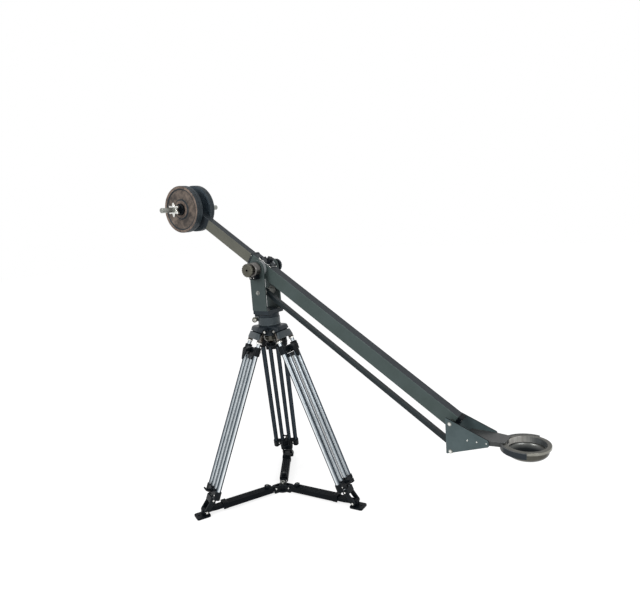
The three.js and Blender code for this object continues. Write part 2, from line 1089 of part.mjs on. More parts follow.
function panKnobShape() {
  const height = (pan.lugBottom + pan.lugTop) / 2;
  const seat = pan.lugHalf + gap;
  const grip = turned('y', [
    [0, seat],
    [pan.knobRadius - pan.edge, seat],
    [pan.knobRadius, seat + pan.edge],
    [pan.knobRadius, seat + pan.knobLength - pan.edge],
    [pan.knobRadius - pan.edge, seat + pan.knobLength],
    [0, seat + pan.knobLength],
  ]);
  const shank = round('y', pan.shankRadius, pan.edge, seat + pan.edge, [0, 0], smallSides);
  return join(grip, shank)
    .translate(pan.knobPlace, 0, height)
    .rotateZ(deg(pan.lugDeg))
    .translate(0, 0, crownTop);
}

// Turntable: the rotor, its brake shoe and the plate that carries the yoke
function turntableShape() {
  const rotor = turned(
    'z',
    [
      [0, rotorBottom],
      [pan.rotorRadius - pan.edge, rotorBottom],
      [pan.rotorRadius, rotorBottom + pan.edge],
      [pan.rotorTopRadius, baseBottom + gap],
      [0, baseBottom + gap],
    ],
    plateSides,
  );
  const shoe = block(
    [0, pan.shoeReach],
    [-pan.shoeHalf, pan.shoeHalf],
    [baseBottom - pan.shoeHeight, baseBottom + gap],
  ).rotateZ(deg(pan.lugDeg));
  const table = slab(
    'z',
    roundedBox(yoke.baseHalf, yokeOutside, yoke.baseCorner),
    baseBottom,
    baseTop,
  );
  return join(rotor, shoe, table);
}

// Yoke side plate with its rounded head; side is -1 near and 1 far
function yokePlateShape(side) {
  const shape = new THREE.Shape();
  const hinge = boomHeight;
  shape.moveTo(baseTop, -yoke.setback - yoke.plateHalf);
  shape.lineTo(hinge, -yoke.setback - yoke.plateHalf);
  for (let i = 1; i < smallSides; i += 1) {
    const turn = -Math.PI / 2 + (i / smallSides) * Math.PI;
    shape.lineTo(
      hinge + yoke.plateHalf * Math.cos(turn),
      -yoke.setback + yoke.plateHalf * Math.sin(turn),
    );
  }
  shape.lineTo(hinge, -yoke.setback + yoke.plateHalf);
  shape.lineTo(baseTop, -yoke.setback + yoke.plateHalf);
  const from = side < 0 ? -yokeOutside : yoke.inside;
  const to = side < 0 ? -yoke.inside : yokeOutside;
  const body = slab('y', shape, from, to);
  const reach = [from - overrun, to + overrun];
  return cut(
    body,
    round('y', tilt.axleRadius + gap, ...reach, [-yoke.setback, boomHeight]),
    round('y', yokeBolt.radius + gap, ...reach, [-yoke.setback, rodHeight], tubeSides),
  );
}

// Through bolt with the spacers that centre the piece it carries
function pivotBoltShape(bolt, span, carried) {
  const end = span[1] + gap + bolt.head;
  let body = round('y', bolt.radius, -end + gap, end - gap, [0, 0], tubeSides);
  for (const side of [-1, 1]) {
    const place = (range) => (side > 0 ? range : [-range[1], -range[0]]);
    const spacer = place([carried + gap, span[0] - gap]);
    const cap = place([span[1] + gap, end]);
    body = join(
      body,
      round('y', bolt.spacerRadius, ...spacer, [0, 0], tubeSides),
      round('y', bolt.headRadius, ...cap, [0, 0], boltSides),
    );
  }
  return body;
}

// Drum beside the yoke plate, with the brake shoe under it
function tiltDrumShape(side, length) {
  const start = yokeOutside;
  const end = start + length;
  const drum = turned('y', [
    [tilt.axleRadius + gap, start],
    [tilt.drumRadius, start],
    [tilt.drumRadius, end - tilt.drumEdge],
    [tilt.drumRadius - tilt.drumEdge, end],
    [tilt.axleRadius + gap, end],
  ]);
  const shoe = block(
    [-tilt.shoeHalf, tilt.shoeHalf],
    [start + gap, end - tilt.shoeEnd],
    [-tilt.shoeDrop, -tilt.drumRadius / 2 - tilt.drumEdge],
  );
  const body = join(drum, shoe);
  if (side < 0) body.rotateZ(Math.PI);
  return body.translate(-yoke.setback, 0, boomHeight);
}

function tiltKnobShape(side, drumLength) {
  const start = yokeOutside + drumLength + gap;
  const grip = start + tilt.neckLength;
  const end = grip + tilt.knobLength;
  const neck = round('y', tilt.neckRadius, start, grip + gap);
  const wheel = slab(
    'y',
    waveOutline(fluteCount, tilt.knobRadius, tilt.knobRadius - tilt.fluteDepth, waveSteps),
    grip,
    end,
    tilt.knobEdge,
  );
  const body = cut(
    join(neck, wheel),
    round('y', tilt.axleRadius + gap, start - overrun, start + tilt.axleEnd + gap),
    round('y', tilt.dimpleRadius, end - tilt.dimpleDepth, end + overrun, [0, 0], tubeSides),
  );
  if (side < 0) body.rotateZ(Math.PI);
  return body.translate(-yoke.setback, 0, boomHeight);
}

// Flange on the boom's side with the stub axle that turns in the yoke
function pivotFlangeShape(side, drumLength) {
  const start = boom.width / 2 + gap;
  const end = yoke.inside - gap;
  const body = join(
    turned('y', [
      [0, start],
      [tilt.flangeRadius, start],
      [tilt.flangeRadius, end - tilt.flangeEdge],
      [tilt.flangeRadius - tilt.flangeEdge, end],
      [0, end],
    ]),
    round('y', tilt.axleRadius, start, yokeOutside + drumLength + gap + tilt.axleEnd),
  );
  return side < 0 ? body.rotateZ(Math.PI) : body;
}

// Rectangular tube along x
function boxTubeShape(size, from, to) {
  const shape = roundedBox(size.width / 2, size.height / 2, size.corner);
  shape.holes.push(
    roundedBox(size.width / 2 - size.wall, size.height / 2 - size.wall, size.corner / 2),
  );
  return slab('x', shape, from, to);
}

function boomTubeShape() {
  const lockBore = round(
    'z',
    armLock.shankRadius + gap,
    0,
    boom.height,
    [armLock.place, 0],
    tubeSides,
  );
  const headBore = round(
    'y',
    headBolt.radius + gap,
    -boom.width,
    boom.width,
    [boom.headPivot, 0],
    tubeSides,
  );
  return cut(boxTubeShape(boom, -boom.back, boom.front), lockBore, headBore);
}

// Guide bush in the boom's rear mouth, which the rear arm slides through
function guideCollarShape() {
  const lip = slab(
    'x',
    roundedBox(boom.width / 2 + collar.lip, boom.height / 2 + collar.lip, boom.corner + collar.lip),
    -boom.back - gap - collar.thickness,
    -boom.back - gap,
  );
  const sleeve = slab(
    'x',
    roundedBox(
      boom.width / 2 - boom.wall - gap,
      boom.height / 2 - boom.wall - gap,
      boom.corner / 2,
    ),
    -boom.back - gap - collar.lip,
    -boom.back + collar.depth,
  );
  const mouth = slab(
    'x',
    roundedBox(rearTube.width / 2 + gap, rearTube.height / 2 + gap, rearTube.corner),
    -boom.back - collar.thickness - overrun,
    -boom.back + collar.depth + overrun,
  );
  return cut(join(lip, sleeve), mouth);
}

// Bearing block that closes the boom's front end
function frontBlockShape() {
  const plug = slab(
    'x',
    roundedBox(
      boom.width / 2 - boom.wall - gap,
      boom.height / 2 - boom.wall - gap,
      boom.corner / 2,
    ),
    boom.front - frontBlock.depth,
    boom.front + gap + frontBlock.inset,
  );
  const face = slab(
    'x',
    roundedBox(
      boom.width / 2 - frontBlock.inset,
      boom.height / 2 - frontBlock.inset,
      boom.corner,
    ),
    boom.front + gap,
    boom.front + gap + frontBlock.lip,
  );
  const bore = round(
    'y',
    headBolt.radius + gap,
    -boom.width,
    boom.width,
    [boom.headPivot, 0],
    tubeSides,
  );
  return cut(join(plug, face), bore);
}

function clampPlateShape() {
  const bottom = boom.height / 2 + gap;
  const top = bottom + clampPlate.thickness;
  let body = block(
    [-clampPlate.back, clampPlate.front],
    [-clampPlate.halfWidth, clampPlate.halfWidth],
    [bottom, top],
  );
  const screwEnds = [
    -clampPlate.back + clampPlate.screwInset,
    clampPlate.front - clampPlate.screwInset,
  ];
  for (const x of screwEnds) {
    for (const y of [-1, 1]) {
      const at = [x, y * (clampPlate.halfWidth - clampPlate.screwInset)];
      body = join(
        body,
        round('z', clampPlate.screwRadius, top - gap, top + clampPlate.screwHeight, at, smallSides),
      );
    }
  }
  const bore = round(
    'z',
    armLock.shankRadius + gap,
    bottom - overrun,
    top + overrun,
    [armLock.place, 0],
    tubeSides,
  );
  return cut(body, bore);
}

function armLockShape() {
  const seat = boom.height / 2 + gap + clampPlate.thickness + gap;
  const gripBottom = seat + armLock.neck;
  const shank = round(
    'z',
    armLock.shankRadius,
    rearTube.height / 2 + gap,
    seat + gap,
    [0, 0],
    tubeSides,
  );
  const neck = round('z', armLock.neckRadius, seat, gripBottom + gap, [0, 0], tubeSides);
  const grip = slab(
    'z',
    waveOutline(lobeCount, armLock.radius, armLock.radius - lobeDepth, lobeSteps),
    gripBottom,
    gripBottom + armLock.height,
    lobeDepth,
  );
  return join(shank, neck, grip).translate(armLock.place, 0, 0);
}

// End block that holds the weight bar, plugged into the rear tube
function weightBlockShape() {
  const halfHeight = rearTube.height / 2;
  const halfWidth = rearTube.width / 2;
  const body = slab(
    'x',
    roundedBox(halfWidth, halfHeight, rearTube.corner),
    -weightBlock.end,
    -rearTube.back - gap,
  );
  const spigot = slab(
    'x',
    roundedBox(
      halfWidth - rearTube.wall - gap,
      halfHeight - rearTube.wall - gap,
      rearTube.corner / 2,
    ),
    -rearTube.back - overrun,
    -rearTube.back + weightBlock.spigot,
  );
  const bosses = round(
    'y',
    weightBlock.bossRadius,
    -plate.nearSeat + gap,
    plate.farSeat - gap,
    [-weightBar.place, 0],
  );
  const bore = round(
    'y',
    weightBar.radius + gap,
    -plate.nearSeat - overrun,
    plate.farSeat + overrun,
    [-weightBar.place, 0],
  );
  const corners = [-1, 1].map((side) =>
    slab(
      'y',
      sideOutline([
        [-weightBlock.end - overrun, side * (halfHeight - weightBlock.endRadius)],
        [-weightBlock.end + weightBlock.endRadius, side * (halfHeight + overrun)],
        [-weightBlock.end - overrun, side * (halfHeight + overrun)],
      ]),
      -halfWidth - overrun,
      halfWidth + overrun,
    ),
  );
  return cut(join(body, spigot, bosses), bore, ...corners);
}

function weightBarShape() {
  const { radius, nearReach, farReach, edge } = weightBar;
  return turned('y', [
    [0, -nearReach],
    [radius - edge, -nearReach],
    [radius, -nearReach + edge],
    [radius, farReach - edge],
    [radius - edge, farReach],
    [0, farReach],
  ]).translate(-weightBar.place, 0, 0);
}

// Cast weight plate: raised rim and hub ring over a thinner web, the same on both faces
function weightPlateShape(from, thickness) {
  const { radius, rimWidth, web, hubRadius, ringWidth, edge, bore } = plate;
  const step = (thickness - web) / 2;
  const face = [
    [bore, 0],
    [hubRadius - ringWidth, 0],
    [hubRadius, step],
    [radius - rimWidth - step, step],
    [radius - rimWidth, 0],
    [radius - edge, 0],
    [radius, edge],
  ];
  const back = face.map(([r, h]) => [r, thickness - h]).reverse();
  return turned('y', [...face, ...back], plateSides).translate(-weightBar.place, from, 0);
}

// Star headed collar that locks the plates on the bar
function spinLockShape(side, from) {
  const { hubRadius, hubLength, starThickness, flangeRadius, flange, nose } = spinLock;
  const starFrom = hubLength;
  const starTo = starFrom + starThickness;
  const star = slab(
    'y',
    waveOutline(starPoints, spinLock.starRadius, spinLock.starValley, waveSteps),
    starFrom,
    starTo,
  );
  const body = cut(
    join(
      round('y', flangeRadius, 0, flange),
      round('y', hubRadius, 0, starTo + nose),
      star,
    ),
    round('y', weightBar.radius + gap, -overrun, starTo + flange + overrun),
  );
  if (side < 0) body.rotateZ(Math.PI);
  return body.translate(-weightBar.place, from, 0);
}

function controlRodShape() {
  const bores = [0, boom.headPivot].map((x) =>
    round('y', yokeBolt.radius + gap, -rod.width, rod.width, [x, 0], tubeSides),
  );
  return cut(boxTubeShape(rod, -rod.tail, boom.headPivot + rod.nose), ...bores);
}

// Head side plate, in the head's own frame with the upper pivot at its origin
function headPlateShape(side) {
  const shape = sideOutline([
    [-head.backInset, head.topRise],
    [head.reach, -head.tipTop],
    [head.reach, -head.tipBottom],
    [-head.backInset, -yoke.rodDrop - head.bottomDrop],
  ]);
  const outside = head.inside + head.plateThickness;
  const from = side < 0 ? -outside : head.inside;
  const to = side < 0 ? -head.inside : outside;
  const body = slab('y', shape, from, to);
  const reach = [from - overrun, to + overrun];
  return cut(
    body,
    round('y', headBolt.radius + gap, ...reach, [0, 0], tubeSides),
    round('y', headBolt.radius + gap, ...reach, [0, -yoke.rodDrop], tubeSides),
  );
}

// Flat arm between the head plates, with the half ring that holds the bowl
function bowlArmShape() {
  const top = -arm.drop + arm.thickness / 2;
  const bottom = -arm.drop - arm.thickness / 2;
  const halfRoot = head.inside - gap;
  const seat = -bowl.rimDrop - bowl.rimThickness - gap;
  const tongue = slab(
    'z',
    outline([
      [arm.start, -halfRoot],
      [head.reach, -halfRoot],
      [bowl.reach - arm.neckInset, -arm.neckHalf],
      [bowl.reach - arm.neckInset, arm.neckHalf],
      [head.reach, halfRoot],
      [arm.start, halfRoot],
    ]),
    bottom,
    top,
  );
  const ring = turned(
    'z',
    [
      [cradle.inside, seat - cradle.floor],
      [cradle.outside, seat - cradle.floor],
      [cradle.outside, seat + cradle.lipRise],
      [cradle.outside - cradle.lip, seat + cradle.lipRise],
      [cradle.outside - cradle.lip, seat],
      [cradle.inside, seat],
    ],
    plateSides,
  ).translate(bowl.reach, 0, 0);
  const reach = 2 * cradle.outside;
  const spread = deg(cradleEndDeg);
  const opening = slab(
    'z',
    outline([
      [bowl.reach, 0],
      [bowl.reach + reach * Math.cos(spread), -reach * Math.sin(spread)],
      [bowl.reach + reach, -reach],
      [bowl.reach + reach, reach],
      [bowl.reach + reach * Math.cos(spread), reach * Math.sin(spread)],
    ]),
    seat - cradle.floor - overrun,
    seat + cradle.lipRise + overrun,
  );
  const inside = round(
    'z',
    cradle.inside,
    bottom - cradle.floor,
    top + overrun,
    [bowl.reach, 0],
    plateSides,
  );
  const rimSpace = round(
    'z',
    cradle.outside - cradle.lip,
    seat,
    top + overrun,
    [bowl.reach, 0],
    plateSides,
  );
  return cut(join(tongue, ring), opening, inside, rimSpace);
}

// Turned bowl: a flat rim, a straight band inside it and a spherical bottom
function bowlShape() {
  const { rimRadius, rimThickness, opening, bodyRadius, band, depth, wall, edge } = bowl;
  const { drainRadius } = bowl;
  const inner = [];
  const outer = [];
  const innerDepth = depth - wall - band;
  for (let i = 0; i <= bowlSteps; i += 1) {
    const turn = (i / bowlSteps) * Math.acos(drainRadius / opening);
    inner.push([opening * Math.cos(turn), -band - innerDepth * Math.sin(turn)]);
    const outerTurn = (i / bowlSteps) * Math.acos(drainRadius / bodyRadius);
    outer.unshift([
      bodyRadius * Math.cos(outerTurn),
      -band - (innerDepth + wall) * Math.sin(outerTurn),
    ]);
  }
  const profile = [
    [opening, 0],
    ...inner,
    ...outer,
    [bodyRadius, -rimThickness],
    [rimRadius, -rimThickness],
    [rimRadius, -edge],
    [rimRadius - edge, 0],
  ];
  return turned('z', profile, plateSides).translate(bowl.reach, 0, -bowl.rimDrop);
}

// Assembly: tripod
addPiece(part, 'crown', crownShape(), 'blackCasting');
addPiece(part, 'tie_down_knob', tieDownShape(), 'blackCasting');
addPiece(part, 'spreader_hub', spreaderHubShape(), 'blackCasting');
for (let i = 0; i < legCount; i += 1) {
  const floorFrame = addFrame(part, 0, 0, 0);
  floorFrame.rotation.z = deg(firstLegDeg + (i * 360) / legCount);
  const legFrame = addFrame(floorFrame, leg.hingeRadius, 0, hingeHeight);
  legFrame.rotation.y = -legTilt;
  const label = i + 1;
  addPiece(legFrame, `leg_${label}_yoke`, legYokeShape(), 'blackPaint');
  addPiece(legFrame, `leg_${label}_frame`, legFrameShape(), 'anodised');
  addPiece(legFrame, `leg_${label}_lower`, legLowerShape(), 'anodised');
  addPiece(legFrame, `leg_${label}_lever`, leverShape(), 'blackPaint');
  addPiece(legFrame, `leg_${label}_wing_screw`, wingShape(), 'blackPaint');
  addPiece(floorFrame, `foot_${label}_bar`, footBarShape(), 'blackPaint');
  addPiece(floorFrame, `spreader_${label}_arm`, armChannelShape(), 'blackPaint');
  addPiece(floorFrame, `spreader_${label}_knob`, armKnobShape(), 'blackPaint');
}

// Assembly: pan bearing and yoke
addPiece(part, 'pan_base', panBaseShape(), 'blackPaint');
addPiece(part, 'pan_lock_knob', panKnobShape(), 'knob');
addPiece(part, 'turntable', turntableShape(), 'blackPaint');
addPiece(part, 'yoke_plate_near', yokePlateShape(-1), 'greenPaint');
addPiece(part, 'yoke_plate_far', yokePlateShape(1), 'greenPaint');
addPiece(
  addFrame(part, -yoke.setback, 0, rodHeight),
  'rod_pivot_bolt',
  pivotBoltShape(yokeBolt, [yoke.inside, yokeOutside], rod.width / 2),
  'steel',
);
addPiece(part, 'tilt_drum_near', tiltDrumShape(-1, tilt.nearDrum), 'knob');
addPiece(part, 'tilt_drum_far', tiltDrumShape(1, tilt.farDrum), 'knob');
addPiece(part, 'tilt_knob_near', tiltKnobShape(-1, tilt.nearDrum), 'knob');
addPiece(part, 'tilt_knob_far', tiltKnobShape(1, tilt.farDrum), 'knob');

// Assembly: boom, rear arm and counterweights
const boomFrame = addFrame(part, -yoke.setback, 0, boomHeight);
boomFrame.rotation.y = pitch;
addPiece(boomFrame, 'pivot_flange_near', pivotFlangeShape(-1, tilt.nearDrum), 'flange');
addPiece(boomFrame, 'pivot_flange_far', pivotFlangeShape(1, tilt.farDrum), 'flange');
addPiece(boomFrame, 'boom_tube', boomTubeShape(), 'greenPaint');
addPiece(boomFrame, 'boom_guide_collar', guideCollarShape(), 'slatePaint');
addPiece(boomFrame, 'boom_front_block', frontBlockShape(), 'blackPaint');
addPiece(boomFrame, 'arm_clamp_plate', clampPlateShape(), 'steel');
addPiece(boomFrame, 'arm_lock_knob', armLockShape(), 'blackPaint');
const rearArmShape = boxTubeShape(rearTube, -rearTube.back, rearTube.front);
addPiece(boomFrame, 'rear_arm_tube', rearArmShape, 'greyPaint');
addPiece(boomFrame, 'weight_bar_block', weightBlockShape(), 'slatePaint');
addPiece(boomFrame, 'weight_bar', weightBarShape(), 'steel');
const { nearSeat, farSeat, nearThickness, farThickness } = plate;
const nearInner = -nearSeat - nearThickness;
const nearOuter = nearInner - gap - nearThickness;
const farOuter = farSeat + farThickness + gap;
addPiece(boomFrame, 'weight_near_inner', weightPlateShape(nearInner, nearThickness), 'darkIron');
addPiece(boomFrame, 'weight_near_outer', weightPlateShape(nearOuter, nearThickness), 'castIron');
addPiece(boomFrame, 'weight_far_inner', weightPlateShape(farSeat, farThickness), 'darkIron');
addPiece(boomFrame, 'weight_far_outer', weightPlateShape(farOuter, farThickness), 'darkIron');
addPiece(boomFrame, 'spin_lock_near', spinLockShape(-1, nearOuter - gap), 'chrome');
const farLock = farOuter + farThickness + gap;
addPiece(boomFrame, 'spin_lock_far', spinLockShape(1, farLock), 'chrome');

// Assembly: control rod and levelling head
const rodFrame = addFrame(part, -yoke.setback, 0, rodHeight);
rodFrame.rotation.y = pitch;
addPiece(rodFrame, 'control_rod', controlRodShape(), 'blackPaint');
const headFrame = addFrame(part, headX, 0, headZ);
addPiece(headFrame, 'head_plate_near', headPlateShape(-1), 'greenPaint');
addPiece(headFrame, 'head_plate_far', headPlateShape(1), 'greenPaint');
addPiece(headFrame, 'bowl_arm', bowlArmShape(), 'slatePaint');
addPiece(headFrame, 'bowl', bowlShape(), 'turned');
const headSpan = [head.inside, head.inside + head.plateThickness];
addPiece(headFrame, 'head_bolt_upper', pivotBoltShape(headBolt, headSpan, boom.width / 2), 'steel');
addPiece(
  addFrame(headFrame, 0, 0, -yoke.rodDrop),
  'head_bolt_lower',
  pivotBoltShape(headBolt, headSpan, rod.width / 2),
  'steel',
);

export default part;
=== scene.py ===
# %% [markdown]
# # A camera jib, dressed around its CAD frame
# The object is a counterweighted boom with a levelling head and bowl, on a pan and tilt yoke,
# on a tripod with a ground spreader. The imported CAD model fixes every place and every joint.
# Each piece that shows is built here again with finer rounds, soft edges and small fittings,
# and it rides on the CAD body that it belongs to.

# %% Load the frame
import math

import bmesh
import bpy
from mathutils import Matrix, Vector


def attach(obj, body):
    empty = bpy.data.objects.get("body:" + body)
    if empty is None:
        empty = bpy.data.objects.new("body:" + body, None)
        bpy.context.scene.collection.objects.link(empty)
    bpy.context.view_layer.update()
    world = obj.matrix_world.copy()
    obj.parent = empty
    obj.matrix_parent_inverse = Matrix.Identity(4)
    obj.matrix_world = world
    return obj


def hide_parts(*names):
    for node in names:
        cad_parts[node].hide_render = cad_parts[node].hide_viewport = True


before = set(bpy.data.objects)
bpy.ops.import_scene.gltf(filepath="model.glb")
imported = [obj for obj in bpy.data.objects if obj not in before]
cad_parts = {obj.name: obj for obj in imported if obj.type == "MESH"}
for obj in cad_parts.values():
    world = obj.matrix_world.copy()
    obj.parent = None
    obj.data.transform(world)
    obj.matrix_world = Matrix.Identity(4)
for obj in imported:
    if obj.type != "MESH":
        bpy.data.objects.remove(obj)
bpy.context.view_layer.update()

# %% [markdown]
# ## Places
# A jib is a chain of frames: the floor, a leaning leg, the pitched boom and the level head.
# Drawing each piece in the frame of its own member keeps the numbers plain, because a tube
# then runs along an axis. One matrix for each member carries the finished mesh to its place.
# All drawing is in millimetres, and the last step scales it to metres.

# %% One matrix for each member
MM = 0.001
SIDES = (-1, 1)
LEG_TURNS = (3.7, 123.7, 243.7)
LEG_LEAN, BOOM_PITCH = 22, 33.5
HINGE_OUT, HINGE_UP = 48, 835.603
CROWN_TOP = 863.103
TABLE_LOW, TABLE_TOP = 920.903, 938.903
TILT_BACK, TILT_UP, ROD_UP = -5, 1140.903, 1025.903
LINK = 115  # from the boom's pivot down to the rod's, at the yoke and at the head
HEAD_OUT, HEAD_UP = 930.62, 521.629
BOWL_OUT, BOWL_DROP = 286, 52
FOOT_OUT, FOOT_UP = 412.175, 25
WEIGHT_BACK = 548


def shift(x=0, y=0, z=0):
    return Matrix.Translation((x, y, z))


def turn(axis, degrees):
    return Matrix.Rotation(math.radians(degrees), 4, axis)


# These two frames point their z axis out of the boom's near and far side
NEAR, FAR = turn("X", 90), turn("X", -90)
UPRIGHT = shift()
FLOORS = [turn("Z", angle) for angle in LEG_TURNS]
TO_HINGE = shift(HINGE_OUT, 0, 0) @ turn("Y", -LEG_LEAN)
CROWN = shift(0, 0, HINGE_UP)
LEGS = [floor @ shift(HINGE_OUT, 0, HINGE_UP) @ turn("Y", -LEG_LEAN) for floor in FLOORS]
TILT = shift(TILT_BACK, 0, TILT_UP)
BOOM = TILT @ turn("Y", BOOM_PITCH)
ROD_PIVOT = shift(TILT_BACK, 0, ROD_UP)
ROD = ROD_PIVOT @ turn("Y", BOOM_PITCH)
HEAD = shift(HEAD_OUT, 0, HEAD_UP)
BOWL = HEAD @ shift(BOWL_OUT, 0, -BOWL_DROP)
WEIGHTS = BOOM @ shift(-WEIGHT_BACK, 0, 0)
print("the legs point at", LEG_TURNS, "degrees")

# %% [markdown]
# ## Forms
# Workshop parts come from few processes: turning, sawing flat bar, extruding and casting.
# Blender could make them with primitives and booleans, but a primitive has knife edges.
# The helpers below make closed meshes from outlines, and a bevel softens every crease. The
# faces of that bevel are marked as worn, so that the paint can show bare metal along edges.

# %% Points and outlines
def on_axis(axis, u, v, along):
    """A point at (u, v) across an axis and at a place along it."""
    return {"x": (along, u, v), "y": (u, along, v), "z": (u, v, along)}[axis]


def beside(side, near, far):
    """Two places on one side of the middle, the lower one first."""
    return sorted((side * near, side * far))


def circle(radius, sides=24, u=0, v=0):
    steps = [2 * math.pi * i / sides for i in range(sides)]
    return [(u + radius * math.cos(a), v + radius * math.sin(a)) for a in steps]


def eased(outline, radius, steps=4, closed=True):
    """The same outline with each corner swapped for a short curve. A curve takes less than
    half of either side, so two never meet."""
    kept = []
    count = len(outline)
    for i, corner in enumerate(outline):
        if not closed and i in (0, count - 1):
            kept.append(corner)
            continue
        here = Vector(corner)
        ends = []
        for other in (outline[i - 1], outline[(i + 1) % count]):
            side = Vector(other) - here
            ends.append(here + side * min(radius / side.length, 0.45))
        for step in range(steps + 1):
            t = step / steps
            kept.append(tuple(ends[0] * (1 - t) ** 2 + here * 2 * t * (1 - t) + ends[1] * t * t))
    return kept


def rectangle(u, v, corner=0, steps=4):
    """A rectangle between two places across and two up, eased if it has a corner radius.
    A number stands for half of a centred side."""
    (left, right), (low, high) = ((-w, w) if isinstance(w, (int, float)) else w for w in (u, v))
    outline = [(left, low), (right, low), (right, high), (left, high)]
    return eased(outline, corner, steps) if corner else outline


print("points of a rounded square", len(rectangle(10, 10, 2)))

# %% Skins over loops and turned profiles
def empty_form():
    """A form whose faces can be marked as worn."""
    form = bmesh.new()
    form.faces.layers.float.new("worn")
    return form


def skinned(loops, closed=False):
    """A skin over loops of equal length, with flat ends or joined end to end."""
    form = empty_form()
    rows = [[form.verts.new(point) for point in loop] for loop in loops]
    pairs = list(zip(rows, rows[1:])) + ([(rows[-1], rows[0])] if closed else [])
    for low, high in pairs:
        for i in range(max(len(low), len(high))):
            corners = [low[i % len(low)], low[(i + 1) % len(low)]]
            corners += [high[(i + 1) % len(high)], high[i % len(high)]]
            form.faces.new(list(dict.fromkeys(corners)))
    if not closed:
        for row in (rows[0], rows[-1]):
            if len(row) > 2:
                form.faces.new(row)
    bmesh.ops.recalc_face_normals(form, faces=form.faces)
    return form


def spun(profile, axis="z", sides=48):
    """A turned form from (radius, place) pairs. It closes on the axis or on itself."""
    loops = []
    for radius, place in profile:
        around = circle(radius, sides) if radius > 0 else [(0, 0)]
        loops.append([on_axis(axis, u, v, place) for u, v in around])
    return skinned(loops, closed=profile[0][0] > 0)


def pin(radius, low, high, axis="z", sides=32, bore=0):
    """A plain turned bar between two places, or a bush when it has a bore."""
    return spun([(bore, low), (radius, low), (radius, high), (bore, high)], axis, sides)


print("faces of a plain pin", len(pin(4, 0, 10).faces))

# %% Plates and round limbs
def slab(outline, axis, low, high, holes=()):
    """A flat plate between two places, with holes given as outlines."""
    if not holes:
        return skinned([[on_axis(axis, u, v, w) for u, v in outline] for w in (low, high)])
    form = empty_form()
    ends = []
    for place in (low, high):
        rows = []
        for loop in (outline, *holes):
            rows.append([form.verts.new(on_axis(axis, u, v, place)) for u, v in loop])
        edges = [form.edges.new(pair) for row in rows for pair in zip(row, row[1:] + row[:1])]
        bmesh.ops.triangle_fill(form, edges=edges, use_beauty=True)
        ends.append(rows)
    for low_row, high_row in zip(*ends):
        for i in range(len(low_row)):
            j = (i + 1) % len(low_row)
            form.faces.new((low_row[i], low_row[j], high_row[j], high_row[i]))
    bmesh.ops.recalc_face_normals(form, faces=form.faces)
    return form


def limb(path, radii, sides):
    """A round arm through points, with a radius at each, as a cast spoke has."""
    loops = []
    points = [Vector(point) for point in path]
    for i, (point, radius) in enumerate(zip(points, radii)):
        ahead = points[min(i + 1, len(points) - 1)] - points[max(i - 1, 0)]
        lean = ahead.to_track_quat("Z", "X")
        loops.append([point + lean @ Vector((u, v, 0)) for u, v in circle(radius, sides)])
    return skinned(loops)


print("faces of a bored plate", len(slab(rectangle(9, 9), "z", 0, 3, [circle(4)]).faces))

# %% Softening and placing
def mark_worn(form, faces):
    worn = form.faces.layers.float["worn"]
    for face in faces:
        face[worn] = 1.0


def softened(form, edge, steps=2, crease=30):
    """Rounds every crease by a bevel and marks its faces as worn."""
    crease = math.radians(crease)
    sharp = [line for line in form.edges if line.is_manifold and line.calc_face_angle() > crease]
    made = bmesh.ops.bevel(form, geom=sharp, offset=edge, segments=steps, profile=0.5,
                           affect="EDGES", clamp_overlap=True)
    mark_worn(form, made["faces"])
    return form


def lathed(profile, edge, sides=48, steps=2, crease=30):
    """A turned form with its edges broken."""
    return softened(spun(profile, sides=sides), edge, steps, crease)


def sawn(outline, axis, low, high, edge, steps=2, holes=()):
    """A flat plate with its edges broken."""
    return softened(slab(outline, axis, low, high, holes), edge, steps)


def moved(form, matrix):
    bmesh.ops.transform(form, matrix=matrix, verts=form.verts)
    return form


print("faces of a softened pin", len(softened(pin(4, 0, 10), 0.4).faces))

# %% [markdown]
# ## Finishes
# The jib has few real finishes: satin powder coat on castings, satin enamel on flat bar and
# tube, anodised tube, turned and plated steel, and cast iron. Each is a node tree that reads
# the piece's own local millimetres, so that grain keeps its real size. Colours are written
# as sRGB hex values and turned to linear by one function.

# %% Colour values and one way to add a node
def linear(hex_colour):
    """An sRGB hex value as linear red, green, blue and alpha."""
    values = [int(hex_colour[i : i + 2], 16) / 255 for i in (1, 3, 5)]
    return [v / 12.92 if v <= 0.04045 else ((v + 0.055) / 1.055) ** 2.4 for v in values] + [1]


def add_node(tree, kind, inputs=(), **fields):
    """Adds a node. A socket, or a node for its first output, is linked. The rest are values."""
    made = tree.nodes.new(kind)
    for name, value in fields.items():
        setattr(made, name, value)
    for name, value in dict(inputs).items():
        if isinstance(value, bpy.types.Node):
            value = value.outputs[0]
        if isinstance(value, bpy.types.NodeSocket):
            tree.links.new(value, made.inputs[name])
        else:
            made.inputs[name].default_value = value
    return made


def emptied(owner):
    """The node tree of a new material or world, without the nodes that it comes with."""
    owner.use_nodes = True
    owner.node_tree.nodes.clear()
    return owner.node_tree


FINISHES = {}


def new_finish(name, slot):
    """An empty material's tree and the piece's own place in millimetres."""
    material = bpy.data.materials.new(name)
    FINISHES[name] = (material, slot)
    tree = emptied(material)
    place = add_node(tree, "ShaderNodeAttribute", attribute_name="local").outputs["Vector"]
    return tree, place


def close_finish(tree, surface):
    add_node(tree, "ShaderNodeOutputMaterial", {"Surface": surface})


print("middle grey in linear light", round(linear("#808080")[0], 3))

# %% [markdown]
# ### Coats
# Powder coat, enamel and old iron enamel are one idea from far off: a dark satin colour that
# shifts over a hand's width, a grain that softens each highlight, and edges rubbed lighter
# by handling. One noise in each of these sizes is enough. A layered shader could do more,
# but the export keeps a plain one.

# %% A coat over metal
SCUFF_MM = 12  # as wide as a fingertip


